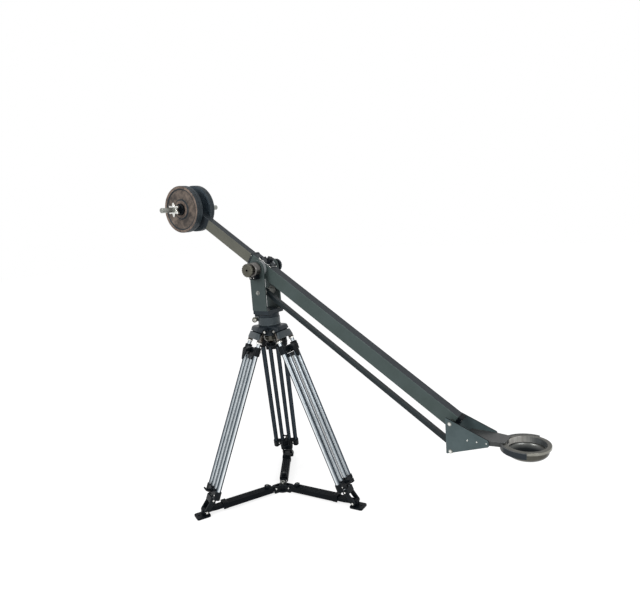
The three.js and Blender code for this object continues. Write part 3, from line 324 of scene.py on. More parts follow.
def coat(name, slot, tones, rough, grain, patch_mm=90, rub=0.6, specular=0.25):
    """tones: the coat, its darker patches and the rubbed edge. grain: its size and depth in mm."""
    tree, place = new_finish(name, slot)
    tone, shade, rubbed = (linear(value) for value in tones.split())
    cloud = add_node(tree, "ShaderNodeTexNoise",
                     {"Vector": place, "Scale": 1 / patch_mm, "Detail": 5, "Roughness": 0.62})
    patches = add_node(tree, "ShaderNodeMapRange",
                       {"Value": cloud, "From Min": 0.36, "From Max": 0.64})
    body = add_node(tree, "ShaderNodeMix", {0: patches, 6: tone, 7: shade}, data_type="RGBA")
    # Scuffs break up the rubbed edges and the gloss
    scuff = add_node(tree, "ShaderNodeTexNoise",
                     {"Vector": place, "Scale": 1 / SCUFF_MM, "Detail": 5, "Roughness": 0.7})
    rubs = add_node(tree, "ShaderNodeMapRange",
                    {"Value": scuff, "From Min": 0.38, "From Max": 0.62, "To Max": rub})
    edges = add_node(tree, "ShaderNodeAttribute", attribute_name="worn").outputs["Fac"]
    wear = add_node(tree, "ShaderNodeMath", {0: edges, 1: rubs}, operation="MULTIPLY")
    skin = add_node(tree, "ShaderNodeMix", {0: wear, 6: body.outputs[2], 7: rubbed},
                    data_type="RGBA")
    gloss = add_node(tree, "ShaderNodeMapRange",
                     {"Value": scuff, "To Min": rough - 0.1, "To Max": rough + 0.1})
    grain_mm, grain_deep_mm = grain
    pits = add_node(tree, "ShaderNodeTexNoise",
                    {"Vector": place, "Scale": 1 / grain_mm, "Detail": 2})
    relief = add_node(tree, "ShaderNodeBump",
                      {"Height": pits, "Strength": 0.7, "Distance": grain_deep_mm * MM})
    surface = {"Base Color": skin.outputs[2], "Roughness": gloss, "Normal": relief,
               "Specular IOR Level": specular}
    close_finish(tree, add_node(tree, "ShaderNodeBsdfPrincipled", surface))


# Each grain has its width and its depth in millimetres
PEEL, FINE_PEEL, SAND = (1.6, 0.06), (1.1, 0.08), (1.5, 0.25)
# Satin blue-grey powder coat on the crown: smooth enough for long soft highlights
coat("crown_powder_coat", "black_casting", "#283036 #20272d #566068", 0.36, FINE_PEEL,
     specular=0.18)
print("nodes of a coat", len(FINISHES["crown_powder_coat"][0].node_tree.nodes))

# %% The other coats
# The same coat, greyer, on the pan drum and the leg skirts
coat("bearing_powder_coat", "black_casting", "#444c50 #3b4347 #6a747b", 0.36, FINE_PEEL)
# Light grey enamel on the flanges beside the boom
coat("flange_enamel", "grey_anodised", "#979c9e #868b8d #b4babd", 0.4, FINE_PEEL)
# Satin black powder coat on the die cast leg and spreader fittings: nearly black
coat("black_powder_coat", "black_casting", "#0d1318 #080d11 #353e44", 0.4, FINE_PEEL,
     rub=0.45, specular=0.13)
# Flat black stove paint on extruded channel and bent bar
coat("black_stove_paint", "black_paint", "#0b1015 #070b0f #2c343a", 0.48, FINE_PEEL,
     rub=0.4, specular=0.08)
# Satin grey-green enamel on box tube and flat bar: matt enough to show no reflections
coat("green_enamel", "grey_green_paint", "#485453 #424e4c #727e7b", 0.5, PEEL)
coat("yoke_enamel", "grey_green_paint", "#424d4d #3a4544 #6d7976", 0.48, PEEL)
# The head's copy is lighter: painted light, as the light falls more on the head than on the boom
coat("head_enamel", "grey_green_paint", "#526062 #465355 #788485", 0.45, PEEL)
# Slate enamel on sleeves, and on upward faces where it is painted shade; and the darker one of the
# control rod
coat("slate_enamel", "slate_paint", "#2c3237 #252b30 #62696d", 0.47, PEEL, specular=0.18)
coat("rod_enamel", "black_paint", "#202a2d #182023 #49545a", 0.45, PEEL)
# Brown-grey enamel on the head's arm and ring
coat("arm_enamel", "slate_paint", "#464747 #3a3c3c #85888a", 0.42, PEEL)
# Warm grey enamel of the sliding rear tube, rubbed by its clamp
coat("rear_enamel", "warm_grey_paint", "#67675e #5d5e56 #8a8b81", 0.5, PEEL)
# Old brown enamel on sand cast iron, rubbed through on its raised rings
coat("worn_iron", "cast_iron", "#7d7066 #3d3835 #a38c7e", 0.5, SAND, patch_mm=38, rub=0.45)
# Dark slate enamel on the same castings, hardly worn
coat("slate_iron", "dark_cast_iron", "#262f35 #1b2227 #454f55", 0.52, SAND, patch_mm=45)
# Pale grey spacers on the rod's bolt
coat("spacer_paint", "grey_anodised", "#a3a49f #8e8f8b #b9bab5", 0.5, FINE_PEEL)
# The plates' flat sides that face the arm are duller, and painted lighter: painted fill light in
# the shade between the plates
coat("slate_iron_painted_light", "dark_cast_iron", "#3c4851 #2f3a42 #515d65", 0.55, SAND, patch_mm=45)
print("coats", len(FINISHES))

# %% [markdown]
# ### Bare metal
# Drawn tube carries fine lines along its length, and turned metal carries rings about its
# axis. Both come from one stretched noise, along z for a tube, and over radius and height
# for turned work. The lines are drawn coarser than real ones, which would vanish from here.
# A leg tube mirrors the dark castings and legs behind it, the bright floor beside it and the room
# in front of it, so its tone is painted from dark through bright to grey across its width: a
# painted reflection.

# %% Drawn and turned metal
SMEAR_MM = 35  # as wide as a hand's grip on the metal


def bare_metal(name, slot, tones, rough, spread, line_mm, turned=False, painted_shading=None,
               streaks=False, metallic=1.0, rim="#ffffff"):
    """line_mm is the spacing of tool lines and spread what they change in gloss.
    Painted shading holds an axis, its two ends, and factors on the tone at shares of the way:
    painted shade and painted highlights in the tone.
    With streaks the tone follows the lines. rim tints the metal where it turns away."""
    tree, place = new_finish(name, slot)
    tone, shade = (linear(value) for value in tones.split())
    parts = add_node(tree, "ShaderNodeSeparateXYZ", {0: place})
    lines_at, stretch = place, (1 / line_mm, 1 / line_mm, 1 / (200 * line_mm))
    if turned:
        flat = add_node(tree, "ShaderNodeVectorMath", {0: place, 1: (1, 1, 0)},
                        operation="MULTIPLY")
        radius = add_node(tree, "ShaderNodeVectorMath", {0: flat}, operation="LENGTH")
        rings = {"X": radius.outputs["Value"], "Y": parts.outputs["Z"]}
        lines_at = add_node(tree, "ShaderNodeCombineXYZ", rings)
        stretch = (1 / line_mm,) * 3
    mapped = add_node(tree, "ShaderNodeMapping", {"Vector": lines_at, "Scale": stretch})
    lines = add_node(tree, "ShaderNodeTexNoise", {"Vector": mapped, "Scale": 1, "Detail": 2})
    smears = {"Vector": place, "Scale": 1 / SMEAR_MM, "Detail": 4, "Roughness": 0.6}
    if streaks:
        smears = {"Vector": mapped, "Scale": 1, "Detail": 1}
    smudge = add_node(tree, "ShaderNodeTexNoise", smears)
    tint = add_node(tree, "ShaderNodeMapRange",
                    {"Value": smudge, "From Min": 0.35, "From Max": 0.68})
    skin = add_node(tree, "ShaderNodeMix", {0: tint, 6: tone, 7: shade}, data_type="RGBA")
    if painted_shading:
        axis, low, high, levels = painted_shading
        along = {"Value": parts.outputs[axis], "From Min": low, "From Max": high}
        along = add_node(tree, "ShaderNodeMapRange", along)
        ramp = add_node(tree, "ShaderNodeValToRGB", {0: along})
        stops = ramp.color_ramp.elements
        stops.remove(stops[1])
        for share, level in levels:
            stop = stops.new(share) if share > levels[0][0] else stops[0]
            stop.position = share
            cold = 0.2 * (1 - level) ** 3  # what lies in the dark is a little bluer
            stop.color = (level * (1 - cold), level, level * (1 + cold), 1)
        skin = add_node(tree, "ShaderNodeMix", {0: 1.0, 6: skin.outputs[2], 7: ramp},
                        data_type="RGBA", blend_type="MULTIPLY")
    gloss = add_node(tree, "ShaderNodeMapRange",
                     {"Value": lines, "To Min": rough - spread, "To Max": rough + spread})
    relief = add_node(tree, "ShaderNodeBump",
                      {"Height": lines, "Strength": 0.25, "Distance": 0.02 * MM})
    surface = {"Base Color": skin.outputs[2], "Metallic": metallic, "Roughness": gloss,
               "Normal": relief, "Specular Tint": linear(rim)}
    close_finish(tree, add_node(tree, "ShaderNodeBsdfPrincipled", surface))


# Drawn tube, silver anodised: a grey satin with long soft highlights, and a painted reflection
# that runs dark, bright and grey across each tube
TUBE_REFLECTION_BANDS = ((0.05, 0.06), (0.4, 0.05), (0.46, 0.5), (0.52, 1.0), (0.7, 1.0), (0.76, 0.5),
              (0.855, 0.4), (0.885, 0.15), (0.97, 0.12))
bare_metal("anodised_tube", "silver_anodised", "#dde3e6 #ccd3d7", 0.26, 0.06, 0.9,
           painted_shading=("X", 5, 31, TUBE_REFLECTION_BANDS), rim="#4a5054")
print("nodes of the leg tubes", len(FINISHES["anodised_tube"][0].node_tree.nodes))

# %% The other metals
# Machined steel of bolts, the weight bar and the ring on the hub
bare_metal("machined_steel", "bright_steel", "#9c9e99 #82847f", 0.28, 0.1, 0.7, turned=True)
# Hard chrome plate on the star collars and bolt heads: nearly a mirror
bare_metal("chrome_plate", "chrome", "#e4e4e0 #cfcfca", 0.14, 0.05, 1.2, turned=True)
# Olive anodised and bead blasted knobs: the dye keeps them dark and warm
bare_metal("olive_anodised", "olive_knob", "#65645a #53524a", 0.46, 0.08, 1.0, turned=True)
# The near brake drum wears a brown-grey anodised coat
bare_metal("brown_anodised", "slate_paint", "#716f6c #5e5c5a", 0.4, 0.08, 1.0, turned=True)
# The leg arms are black chromed: bright along the middle and dark where they turn away
bare_metal("black_chrome", "slate_paint", "#6d6964 #4d4b49", 0.2, 0.06, 0.9, rim="#16181a")
# Turned aluminium of the bowl, with rings that the lathe left
bare_metal("turned_bowl", "turned_aluminium", "#56554f #474641", 0.32, 0.1, 0.9, turned=True)
# The cup is painted darker and darker towards its bottom: painted shade, as it mirrors less and
# less light there
CUP_SHADE_BANDS = ((0.0, 0.05), (0.3, 0.09), (0.8, 0.75), (1.0, 1.0))
bare_metal("dark_bowl", "turned_aluminium", "#80817e #6b6c6a", 0.3, 0.1, 0.9, turned=True,
           painted_shading=("Z", -52, -24, CUP_SHADE_BANDS))
# The bore is blasted and clear anodised, so half of its light is scattered. Its one bright sector,
# on the side towards the boom, is a painted highlight, as a room with one window would give a
# turned bore
BORE_HIGHLIGHT_BANDS = ((0.0, 1.0), (0.1, 1.0), (0.25, 0.72), (0.42, 0.48), (0.62, 0.24), (1.0, 0.15))
bare_metal("bright_bowl", "turned_aluminium", "#f6f4ee #d4d1c9", 0.3, 0.1, 8,
           painted_shading=("X", -73, 73, BORE_HIGHLIGHT_BANDS), streaks=True, metallic=0.4)
# The rim's outer edge is cut metal, painted lighter than the bowl as a painted highlight
bare_metal("cut_aluminium", "turned_aluminium", "#8f8e87 #78776f", 0.25, 0.08, 0.9)
print("finishes", sorted(FINISHES))

# %% [markdown]
# ## From a form to a piece
# A piece is a mesh that has its material, its place and the CAD body that it moves with. The
# mesh keeps two attributes: where each point was in the member's own millimetres, which the
# finishes read, and which faces are worn. Weighted normals keep flat faces flat beside their
# bevels.

# %% Finish a mesh and hand it to its body
def added(name, data):
    """A new object in the scene that shows a mesh, a lamp or a camera."""
    made = bpy.data.objects.new(name, data)
    bpy.context.scene.collection.objects.link(made)
    return made


def finished(name, body, finish, mesh, place, stands_for=()):
    """Puts a mesh in its place with its material and tells the frame where it belongs."""
    local = mesh.attributes.new("local", "FLOAT_VECTOR", "POINT")
    local.data.foreach_set("vector", [value for point in mesh.vertices for value in point.co])
    mesh.shade_smooth()
    mesh.transform(Matrix.Scale(MM, 4) @ place)
    piece = added(name, mesh)
    material, slot = FINISHES[finish]
    mesh.materials.clear()
    mesh.materials.append(material)
    piece.modifiers.new("Flat faces lead", "WEIGHTED_NORMAL")
    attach(piece, body)
    if stands_for:
        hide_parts(*stands_for)
    return piece


def piece(name, body, finish, forms, place, stands_for=()):
    """Joins forms into one mesh and finishes it."""
    whole = empty_form()
    step = bpy.data.meshes.new("step")
    for form in forms:
        form.to_mesh(step)
        form.free()
        whole.from_mesh(step)
    bpy.data.meshes.remove(step)
    mesh = bpy.data.meshes.new(name)
    whole.to_mesh(mesh)
    whole.free()
    return finished(name, body, finish, mesh, place, stands_for)


def repaint(painted, finish, member, chosen):
    """Gives a second finish to the faces that a test picks out, by the face's normal and
    its middle in the member's own millimetres."""
    painted.data.materials.append(FINISHES[finish][0])
    last = len(painted.data.materials) - 1
    back = (Matrix.Scale(MM, 4) @ member).inverted()
    count = 0
    for face in painted.data.polygons:
        normal = (back.to_3x3() @ face.normal).normalized()
        if chosen(normal, back @ face.center):
            face.material_index = last
            count += 1
    print(painted.name, "has", count, "faces in", finish)


# %% [markdown]
# ## What repeats: screws and ridges
# Screws and clamp ridges repeat, so Geometry Nodes make them. One tree puts a socket screw
# on each marked point, and the other lays a round ridge on each. The sizes are named inputs.
# The evaluated result is copied to a plain mesh, and the modifier goes away before the piece
# is handed on.

# %% A tree with named inputs
def new_tree(name, sizes):
    """An empty geometry tree whose inputs are the sizes given, in millimetres or counts."""
    tree = bpy.data.node_groups.new(name, "GeometryNodeTree")
    face = tree.interface
    for label, kind in {"Geometry": "Geometry", **sizes, "Finish": "Material"}.items():
        face.new_socket(label, in_out="INPUT", socket_type="NodeSocket" + kind)
    face.new_socket("Geometry", in_out="OUTPUT", socket_type="NodeSocketGeometry")
    return tree, add_node(tree, "NodeGroupInput").outputs


def close_tree(tree, size, one, scale):
    """Puts one form on each point, turned to its facing, as real geometry in its material."""
    facing = add_node(tree, "GeometryNodeInputNamedAttribute", {"Name": "facing"},
                      data_type="FLOAT_VECTOR")
    aim = add_node(tree, "FunctionNodeAlignRotationToVector", {"Vector": facing}, axis="Z")
    spread = {"Points": size["Geometry"], "Instance": one, "Rotation": aim, "Scale": scale}
    placed = add_node(tree, "GeometryNodeInstanceOnPoints", spread)
    real = add_node(tree, "GeometryNodeRealizeInstances", {"Geometry": placed})
    dressed = add_node(tree, "GeometryNodeSetMaterial",
                       {"Geometry": real, "Material": size["Finish"]})
    add_node(tree, "NodeGroupOutput", {"Geometry": dressed})


def grown(name, body, finish, tree, sizes, places, member):
    """Runs a tree on places, each a point and the way that it faces."""
    seed = bpy.data.meshes.new("seed")
    seed.from_pydata([point for point, _ in places], [], [])
    facing = seed.attributes.new("facing", "FLOAT_VECTOR", "POINT")
    facing.data.foreach_set("vector", [value for _, way in places for value in way])
    holder = added("holder", seed)
    grow = holder.modifiers.new("Grow", "NODES")
    grow.node_group = tree
    sockets = {item.name: item.identifier for item in tree.interface.items_tree}
    for label, value in {**sizes, "Finish": FINISHES[finish][0]}.items():
        grow[sockets[label]] = value
    bpy.context.view_layer.update()
    evaluated = holder.evaluated_get(bpy.context.evaluated_depsgraph_get())
    mesh = bpy.data.meshes.new_from_object(evaluated)
    mesh.name = name
    holder.modifiers.remove(grow)
    bpy.data.objects.remove(holder)
    bpy.data.meshes.remove(seed)
    return finished(name, body, finish, mesh, member)


# %% Socket screws
# A screw is drawn one wide and one high, and each point scales it to its sizes
screw_tree, size = new_tree("Socket screws", {"Head radius": "Float", "Head height": "Float",
                                              "Socket share": "Float", "Sides": "Int"})
solid = add_node(screw_tree, "GeometryNodeMeshCylinder",
                 {"Vertices": size["Sides"], "Radius": 1.0, "Depth": 0.8})
top = solid.outputs["Top"]
for rise, share in ((0.2, 0.84), (0.0, size["Socket share"]), (-0.6, 1.0)):
    drawn = {"Mesh": solid, "Selection": top, "Offset Scale": rise}
    drawn = add_node(screw_tree, "GeometryNodeExtrudeMesh", drawn)
    top = drawn.outputs["Top"]
    solid = add_node(screw_tree, "GeometryNodeScaleElements",
                     {"Geometry": drawn, "Selection": top, "Scale": share})
seated = add_node(screw_tree, "GeometryNodeTransform",
                  {"Geometry": solid, "Translation": (0, 0, 0.4)})
spread = add_node(screw_tree, "ShaderNodeCombineXYZ",
                  {"X": size["Head radius"], "Y": size["Head radius"], "Z": size["Head height"]})
close_tree(screw_tree, size, seated, spread)


def screws(name, body, finish, places, member, radius, height, socket, sides=20):
    sizes = {"Head radius": radius, "Head height": height, "Socket share": socket / radius,
             "Sides": sides}
    grown(name, body, finish, screw_tree, sizes, places, member)
    print(name, len(places))


def flanks(half, *points):
    """Places on both flanks of a member, facing out, at each pair of x and z."""
    return [((x, side * half, z), (0, side, 0)) for side in SIDES for x, z in points]


def upward(xs, ys, z):
    """Places in rows and columns, facing up."""
    return [((x, y, z), (0, 0, 1)) for x in xs for y in ys]


def on_arms(places):
    """The same places on all three arms of the tripod."""
    return [(floor @ Vector(point), floor.to_3x3() @ Vector(way))
            for floor in FLOORS for point, way in places]


print("screw tree nodes", len(screw_tree.nodes))

# %% Clamp ridges
ridge_tree, size = new_tree("Clamp ridges", {"Length": "Float", "Radius": "Float"})
ridge = add_node(ridge_tree, "GeometryNodeMeshCylinder",
                 {"Vertices": 10, "Radius": size["Radius"], "Depth": size["Length"]})
close_tree(ridge_tree, size, ridge, (1, 1, 1))
print("ridge tree nodes", len(ridge_tree.nodes))

# %% [markdown]
# ## Lobed and fluted grips
# Moulded grips have an outline that swings between tips and valleys. Boolean cuts could make
# the valleys, but a raised cosine gives the whole outline in one line, and the bevel that
# every form gets rounds its rims.

# %% An outline that swings, and a grip from it
def star(points, tip, valley, sharpness=1.0):
    """An outline with rounded points, drawn in eight steps from one point to the next."""
    made = []
    for i in range(points * 8):
        a = 2 * math.pi * i / (points * 8)
        swing = ((1 + math.cos(points * a)) / 2) ** sharpness
        radius = valley + (tip - valley) * swing
        made.append((radius * math.cos(a), radius * math.sin(a)))
    return made


def grip(lobes, radius, depth, low, high, edge):
    """A hand grip on the z axis."""
    return sawn(star(lobes, radius, radius - depth), "z", low, high, edge, 4)


print("knob outline points", len(star(6, 14, 11)))

# %% [markdown]
# ## Tripod crown
# The crown is one casting: a round collar with three lobes that shelter the leg hinges. A
# sculpted mesh could do it, but the real one is a few plain volumes with large radii, so
# each volume is a softened form.

# %% One lobe of the crown
def bowed_end(front, half, back):
    """The outward end of a lobe or a skirt, seen along the leg: a rounded square."""
    steps, squareness = 12, 3.4
    end = []
    for i in range(-steps, steps + 1):
        a = math.pi / 2 * i / steps
        x = back + (front - back) * math.cos(a) ** (2 / squareness)
        end.append((x, half * math.copysign(abs(math.sin(a)) ** (2 / squareness), a)))
    return end


def lobe():
    """One lobe in its leg's frame. Its walls follow the leg, its top lies level, and only
    its outer part reaches down in front of the leg's arms."""
    lean = math.radians(LEG_LEAN)
    slope, top_at_hinge = math.tan(lean), 27 / math.cos(lean)
    visor, arms_top, rounding = -6.5, 9.6, 8
    outer_part, all_of_it = 15, -38
    # Each level holds its drop from the top, its inset, a flat height and its inner end
    levels = [(0, 1, visor, outer_part), (0, 0, visor + 1, outer_part),
              (0, 0, arms_top, outer_part), (0, 0, arms_top, all_of_it)]
    for step in range(6):
        a = math.pi / 2 * step / 5
        drop, inset = rounding * (1 - math.sin(a)), rounding * (1 - math.cos(a))
        levels.append((drop, inset, None, all_of_it))
    loops = []
    for drop, inset, flat, inner in levels:
        end = bowed_end(38 - inset, 50 - inset, 16)
        loop = []
        for x, y in [(inner, end[0][1]), *end, (inner, end[-1][1])]:
            top = top_at_hinge - slope * x
            loop.append((x, y, top - drop if flat is None else min(flat, top - rounding - 0.4)))
        loops.append(loop)
    form = skinned(loops)
    bmesh.ops.remove_doubles(form, verts=form.verts, dist=0.001)
    return form


print("lobe faces", len(lobe().faces))

# %% Crown casting and its hinge bolts
def crown_sector(k):
    """One lobe, its lip, its lug and its hinge pin, over leg k."""
    # The lip is a sheet under each lobe, behind the skirt's top: a dark thing that stands for the
    # shade in the gap between the arms
    forms = [moved(lobe(), TO_HINGE),
             moved(slab(bowed_end(29, 44, 17), "z", -16, 8), TO_HINGE),
             sawn(rectangle((10, 56), 25.8), "z", -13, 9, 2),
             moved(pin(4.5, -37, 37, "y"), shift(HINGE_OUT, 0, 0))]
    return [moved(form, FLOORS[k]) for form in forms]


collar_profile = [(0, 8), (56, 8), (56, 25.4), (54, 27.4), (0, 27.4)]
drum_profile = [(0, -22), (40, -22), (44, -18), (44, 9), (0, 9)]
crown_forms = [lathed(collar_profile, 0.8, 72), lathed(drum_profile, 0.8)]
for k in range(3):
    crown_forms += crown_sector(k)
piece("crown_casting", "crown", "crown_powder_coat", crown_forms, CROWN, ["crown"])
screws("crown_hinge_bolts", "crown", "chrome_plate", on_arms(flanks(36.6, (HINGE_OUT, 0))),
       CROWN, 6.6, 3.6, 2.6)

# %% Tie-down cup, stem and grip
TIE_DOWN = CROWN @ shift(0, 0, -22)
cup_profile = [(0, -0.3), (29, -0.3), (32, -4), (32, -16), (27, -28), (16, -36), (0, -38)]
cup = lathed(eased(cup_profile, 6, closed=False), 0.5)
piece("tie_down_cup", "tie_down", "turned_bowl", [cup], TIE_DOWN, ["tie_down_knob"])
tie_grip = piece("tie_down_grip", "tie_down", "black_powder_coat",
                 [grip(6, 27, 2.5, -58, -38, 4), pin(9, -40, -30)], TIE_DOWN)
print("tie-down grip faces", len(tie_grip.data.polygons))

# %% [markdown]
# ## Pan bearing and turntable
# The pan bearing is a turned drum with a split lug, which its knob pinches. The turntable
# above it carries the brake shoe and a plate sawn from flat bar. Turned forms keep true
# circles, and many sides keep the long soft highlights of the photograph.

# %% Fixed half with its split lug
PAN = shift(0, 0, CROWN_TOP)
LUG_WAY = turn("Z", 215)
pan_profile = [(0, 0.2), (51, 0.2), (51, 3), (54.6, 3.6), (54.6, 5.6), (53.2, 6.4), (53.2, 38.4),
               (51.6, 40), (0, 40)]
lugs = [moved(sawn(rectangle((48, 78), cheek), "z", 20, 38, 1.6), LUG_WAY)
        for cheek in ((-10, -1), (1, 10))]
pan_drum = piece("pan_drum", "crown", "bearing_powder_coat", [lathed(pan_profile, 0.5, 96), *lugs],
                 PAN, ["pan_base"])
PAN_KNOB = PAN @ LUG_WAY @ shift(68, 10.3, 29) @ FAR
piece("pan_knob_grip", "pan_knob", "olive_anodised", [grip(12, 13, 1.2, 0, 12, 2), pin(4, -9, 2)],
      PAN_KNOB, ["pan_lock_knob"])
knob_ring = [(3, 11.4), (6, 11.4), (6, 12.5), (3, 12.5)]
piece("pan_knob_ring", "pan_knob", "chrome_plate", [lathed(knob_ring, 0.25, 32)], PAN_KNOB)
print("pan drum faces", len(pan_drum.data.polygons))

# %% Turntable, brake shoe and plate
rotor = [(0, 903.4), (48.5, 903.4), (51, 906), (50, 921.2), (0, 921.2)]
table_forms = [lathed(rotor, 0.6, 96),
               moved(sawn(rectangle((30, 66), 17), "z", 906, 921.2, 1.6), LUG_WAY),
               sawn(rectangle(46, 60, 4), "z", TABLE_LOW, TABLE_TOP, 1.4)]
piece("turntable_plate", "turntable", "crown_powder_coat", table_forms, UPRIGHT, ["turntable"])
shoe_way = LUG_WAY.to_3x3() @ Vector((1, 0, 0))
shoe_screws = [(LUG_WAY @ Vector((65.6, y, 912.5)), shoe_way) for y in (-9, 5)]
screws("turntable_screws", "turntable", "chrome_plate", shoe_screws, UPRIGHT, 2.8, 1.6, 1.2)
table_bolts = upward((-36, 36), (-38, 38), TABLE_TOP - 0.2)
screws("turntable_bolts", "turntable", "machined_steel", table_bolts, UPRIGHT, 5, 3.4, 2.6)

# %% [markdown]
# ## Yoke
# Two side plates with round heads carry the boom. Each was cut from 10 mm bar, bored for the
# axle and the rod's bolt, and edge rounded by hand. One outline with its holes serves both.

# %% Side plates
AXLE_BORE, YOKE_HALF = 10.4, 42
head_turns = [math.pi * i / 36 for i in range(37)]
yoke_outline = [(TILT_BACK - YOKE_HALF * math.cos(a), TILT_UP + YOKE_HALF * math.sin(a))
                for a in head_turns]
yoke_outline += [(TILT_BACK + YOKE_HALF, TABLE_TOP), (TILT_BACK - YOKE_HALF, TABLE_TOP)]
yoke_holes = [circle(AXLE_BORE, 40, TILT_BACK, TILT_UP), circle(6.4, 28, TILT_BACK, ROD_UP)]
for side, word in zip(SIDES, ("near", "far")):
    plate = sawn(yoke_outline, "y", *beside(side, 50, 60), 1.1, holes=yoke_holes)
    yoke_side = piece(f"yoke_side_{word}", "turntable", "yoke_enamel", [plate], UPRIGHT,
                      [f"yoke_plate_{word}"])
print("yoke faces", len(yoke_side.data.polygons))

# %% Rod bolt, washers and spacers
bolt_forms = [pin(6, -66, 66, "y")]
for side in SIDES:
    for radius, low, high in ((15, 12.8, 44), (19, 43.6, 49.8), (10.5, 60.3, 62.2)):
        bolt_forms.append(softened(pin(radius, *beside(side, low, high), "y", 56), 0.7))
piece("rod_bolt", "turntable", "spacer_paint", bolt_forms, ROD_PIVOT, ["rod_pivot_bolt"])
screws("rod_bolt_heads", "turntable", "machined_steel", flanks(62, (0, 0)), ROD_PIVOT,
       8, 5, 2.2, 6)

# %% [markdown]
# ## Tilt drums, shoes and knobs
# On each side a drum holds friction discs, and a fluted knob squeezes them. The shoe under
# the drum is pinned by two bright screws. The near drum is the deeper one. A knob's head is
# a thin fluted disc on a long neck, as the photograph shows it.

# %% Drums, shoes and knobs on both sides
DRUM_RADIUS, KNOB_RADIUS, FLANGE_RADIUS = 33, 32, 36
KNOB_LOW, KNOB_HIGH = 17.9, 27.9  # both faces of a knob's head, from its drum's end
# The far knob is the same olive knob as the near one: its slate enamel is painted shade
for word, out, up, drum, drum_finish, grip_finish in (
        ("near", NEAR, 1, 38, "brown_anodised", "olive_anodised"),
        ("far", FAR, -1, 15, "black_stove_paint", "slate_enamel")):
    base, end = TILT @ out, 60 + drum
    drum_profile = [(AXLE_BORE, 60.1), (DRUM_RADIUS, 60.1), (DRUM_RADIUS, end - 5),
                    (DRUM_RADIUS - 4, end - 0.3), (AXLE_BORE, end - 0.3)]
    piece(f"tilt_brake_{word}", "turntable", drum_finish, [lathed(drum_profile, 0.7, 80)], base,
          [f"tilt_drum_{word}"])
    shoe = sawn(rectangle(20, beside(up, -47, -24)), "z", 60.4, end - 8, 1.6)
    piece(f"tilt_shoe_{word}", "turntable", "black_stove_paint", [shoe], base)
    screws(f"tilt_shoe_screws_{word}", "turntable", "chrome_plate",
           upward((-9, 7), (-39 * up,), end - 8.2), base, 2.6, 1.6, 1.1)
    low, high = end + KNOB_LOW, end + KNOB_HIGH
    neck = [(AXLE_BORE, end + 0.3), (15, end + 0.3), (15, low + 1), (AXLE_BORE, low + 1)]
    cap = [(0, high - 1), (10, high - 1), (10, high + 0.9), (6.6, high + 1.2), (5.6, high),
           (0, high)]
    forms = [grip(18, KNOB_RADIUS, 1.8, low, high, 2.6), lathed(neck, 0.5, 40),
             lathed(cap, 0.3, 40)]
    body = f"tilt_knob_{word}"
    piece(f"tilt_grip_{word}", body, grip_finish, forms, base, [body])
    ways = [turn("Z", angle).to_3x3() @ Vector((1, 0, 0)) for angle in (0, 120, 240)]
    places = [(way * 14.6 + Vector((0, 0, end + 9)), way) for way in ways]
    screws(f"tilt_neck_screws_{word}", body, "chrome_plate", places, base, 2.8, 2.4, 1.2)
    flange = [(0, 25.3), (FLANGE_RADIUS, 25.3), (FLANGE_RADIUS, 47.7), (FLANGE_RADIUS - 2, 49.7),
              (0, 49.7)]
    piece(f"boom_flange_{word}", "boom", "flange_enamel",
          [lathed(flange, 0.6, 80), pin(10, 49, end + 9, sides=40)], BOOM @ out,
          [f"pivot_flange_{word}"])

# %% [markdown]
# ## Boom
# The boom is drawn box tube. Its corners have the die's small radius, and the enamel is rubbed
# there, so the corner strips are marked as worn. The upper face is slate: painted shade, because
# the photograph shows it much darker than the sides.

# %% Box tube with worn corners
def box_tube(width, height, wall, corner, low, high):
    half_u, half_v = width / 2, height / 2
    bore = rectangle(half_u - wall, half_v - wall, corner / 2, 2)
    form = slab(rectangle(half_u, half_v, corner), "x", low, high, [bore])
    # A corner strip is a face that looks neither straight sideways nor straight up or down
    mark_worn(form, [face for face in form.faces
                     if abs(face.normal.y) > 0.2 and abs(face.normal.z) > 0.2])
    return softened(form, 0.4, 1)


def looks_up(normal, middle):
    return normal.z > 0.8


boom_skin = piece("boom_box_tube", "boom", "green_enamel", [box_tube(50, 66, 3, 3.4, -70, 1131)],
                  BOOM, ["boom_tube"])
# The upper face takes the slate enamel as painted shade
repaint(boom_skin, "slate_enamel", BOOM, looks_up)

# %% Guide collar, end block and their screws
SLEEVE = rectangle(21.6, 29.6, 2)
guide = sawn(rectangle(27, 35, 5), "x", -79.3, -70.3, 1.2, holes=[rectangle(20.4, 27.4, 3)])
lining = slab(SLEEVE, "x", -72, -20, [rectangle(20.4, 27.4, 2)])
piece("guide_collar", "boom", "slate_enamel", [guide, lining], BOOM, ["boom_guide_collar"])
end_forms = [sawn(rectangle(24, 32, 4), "x", 1131.3, 1148.2, 2, 3), slab(SLEEVE, "x", 1100, 1132)]
piece("boom_end_block", "boom", "black_stove_paint", end_forms, BOOM, ["boom_front_block"])
end_screws = [((1148, y, z), (1, 0, 0)) for y in (-14, 14) for z in (-22, 22)]
screws("boom_screws", "boom", "machined_steel",
       flanks(26.7, (-74.8, -22), (-74.8, 22)) + end_screws, BOOM, 3, 1.4, 1.4)

# %% Clamp plate and its lock knob
clamp_form = sawn(rectangle((-32, 49), 24.6, 3), "z", 33.3, 38.3, 0.9)
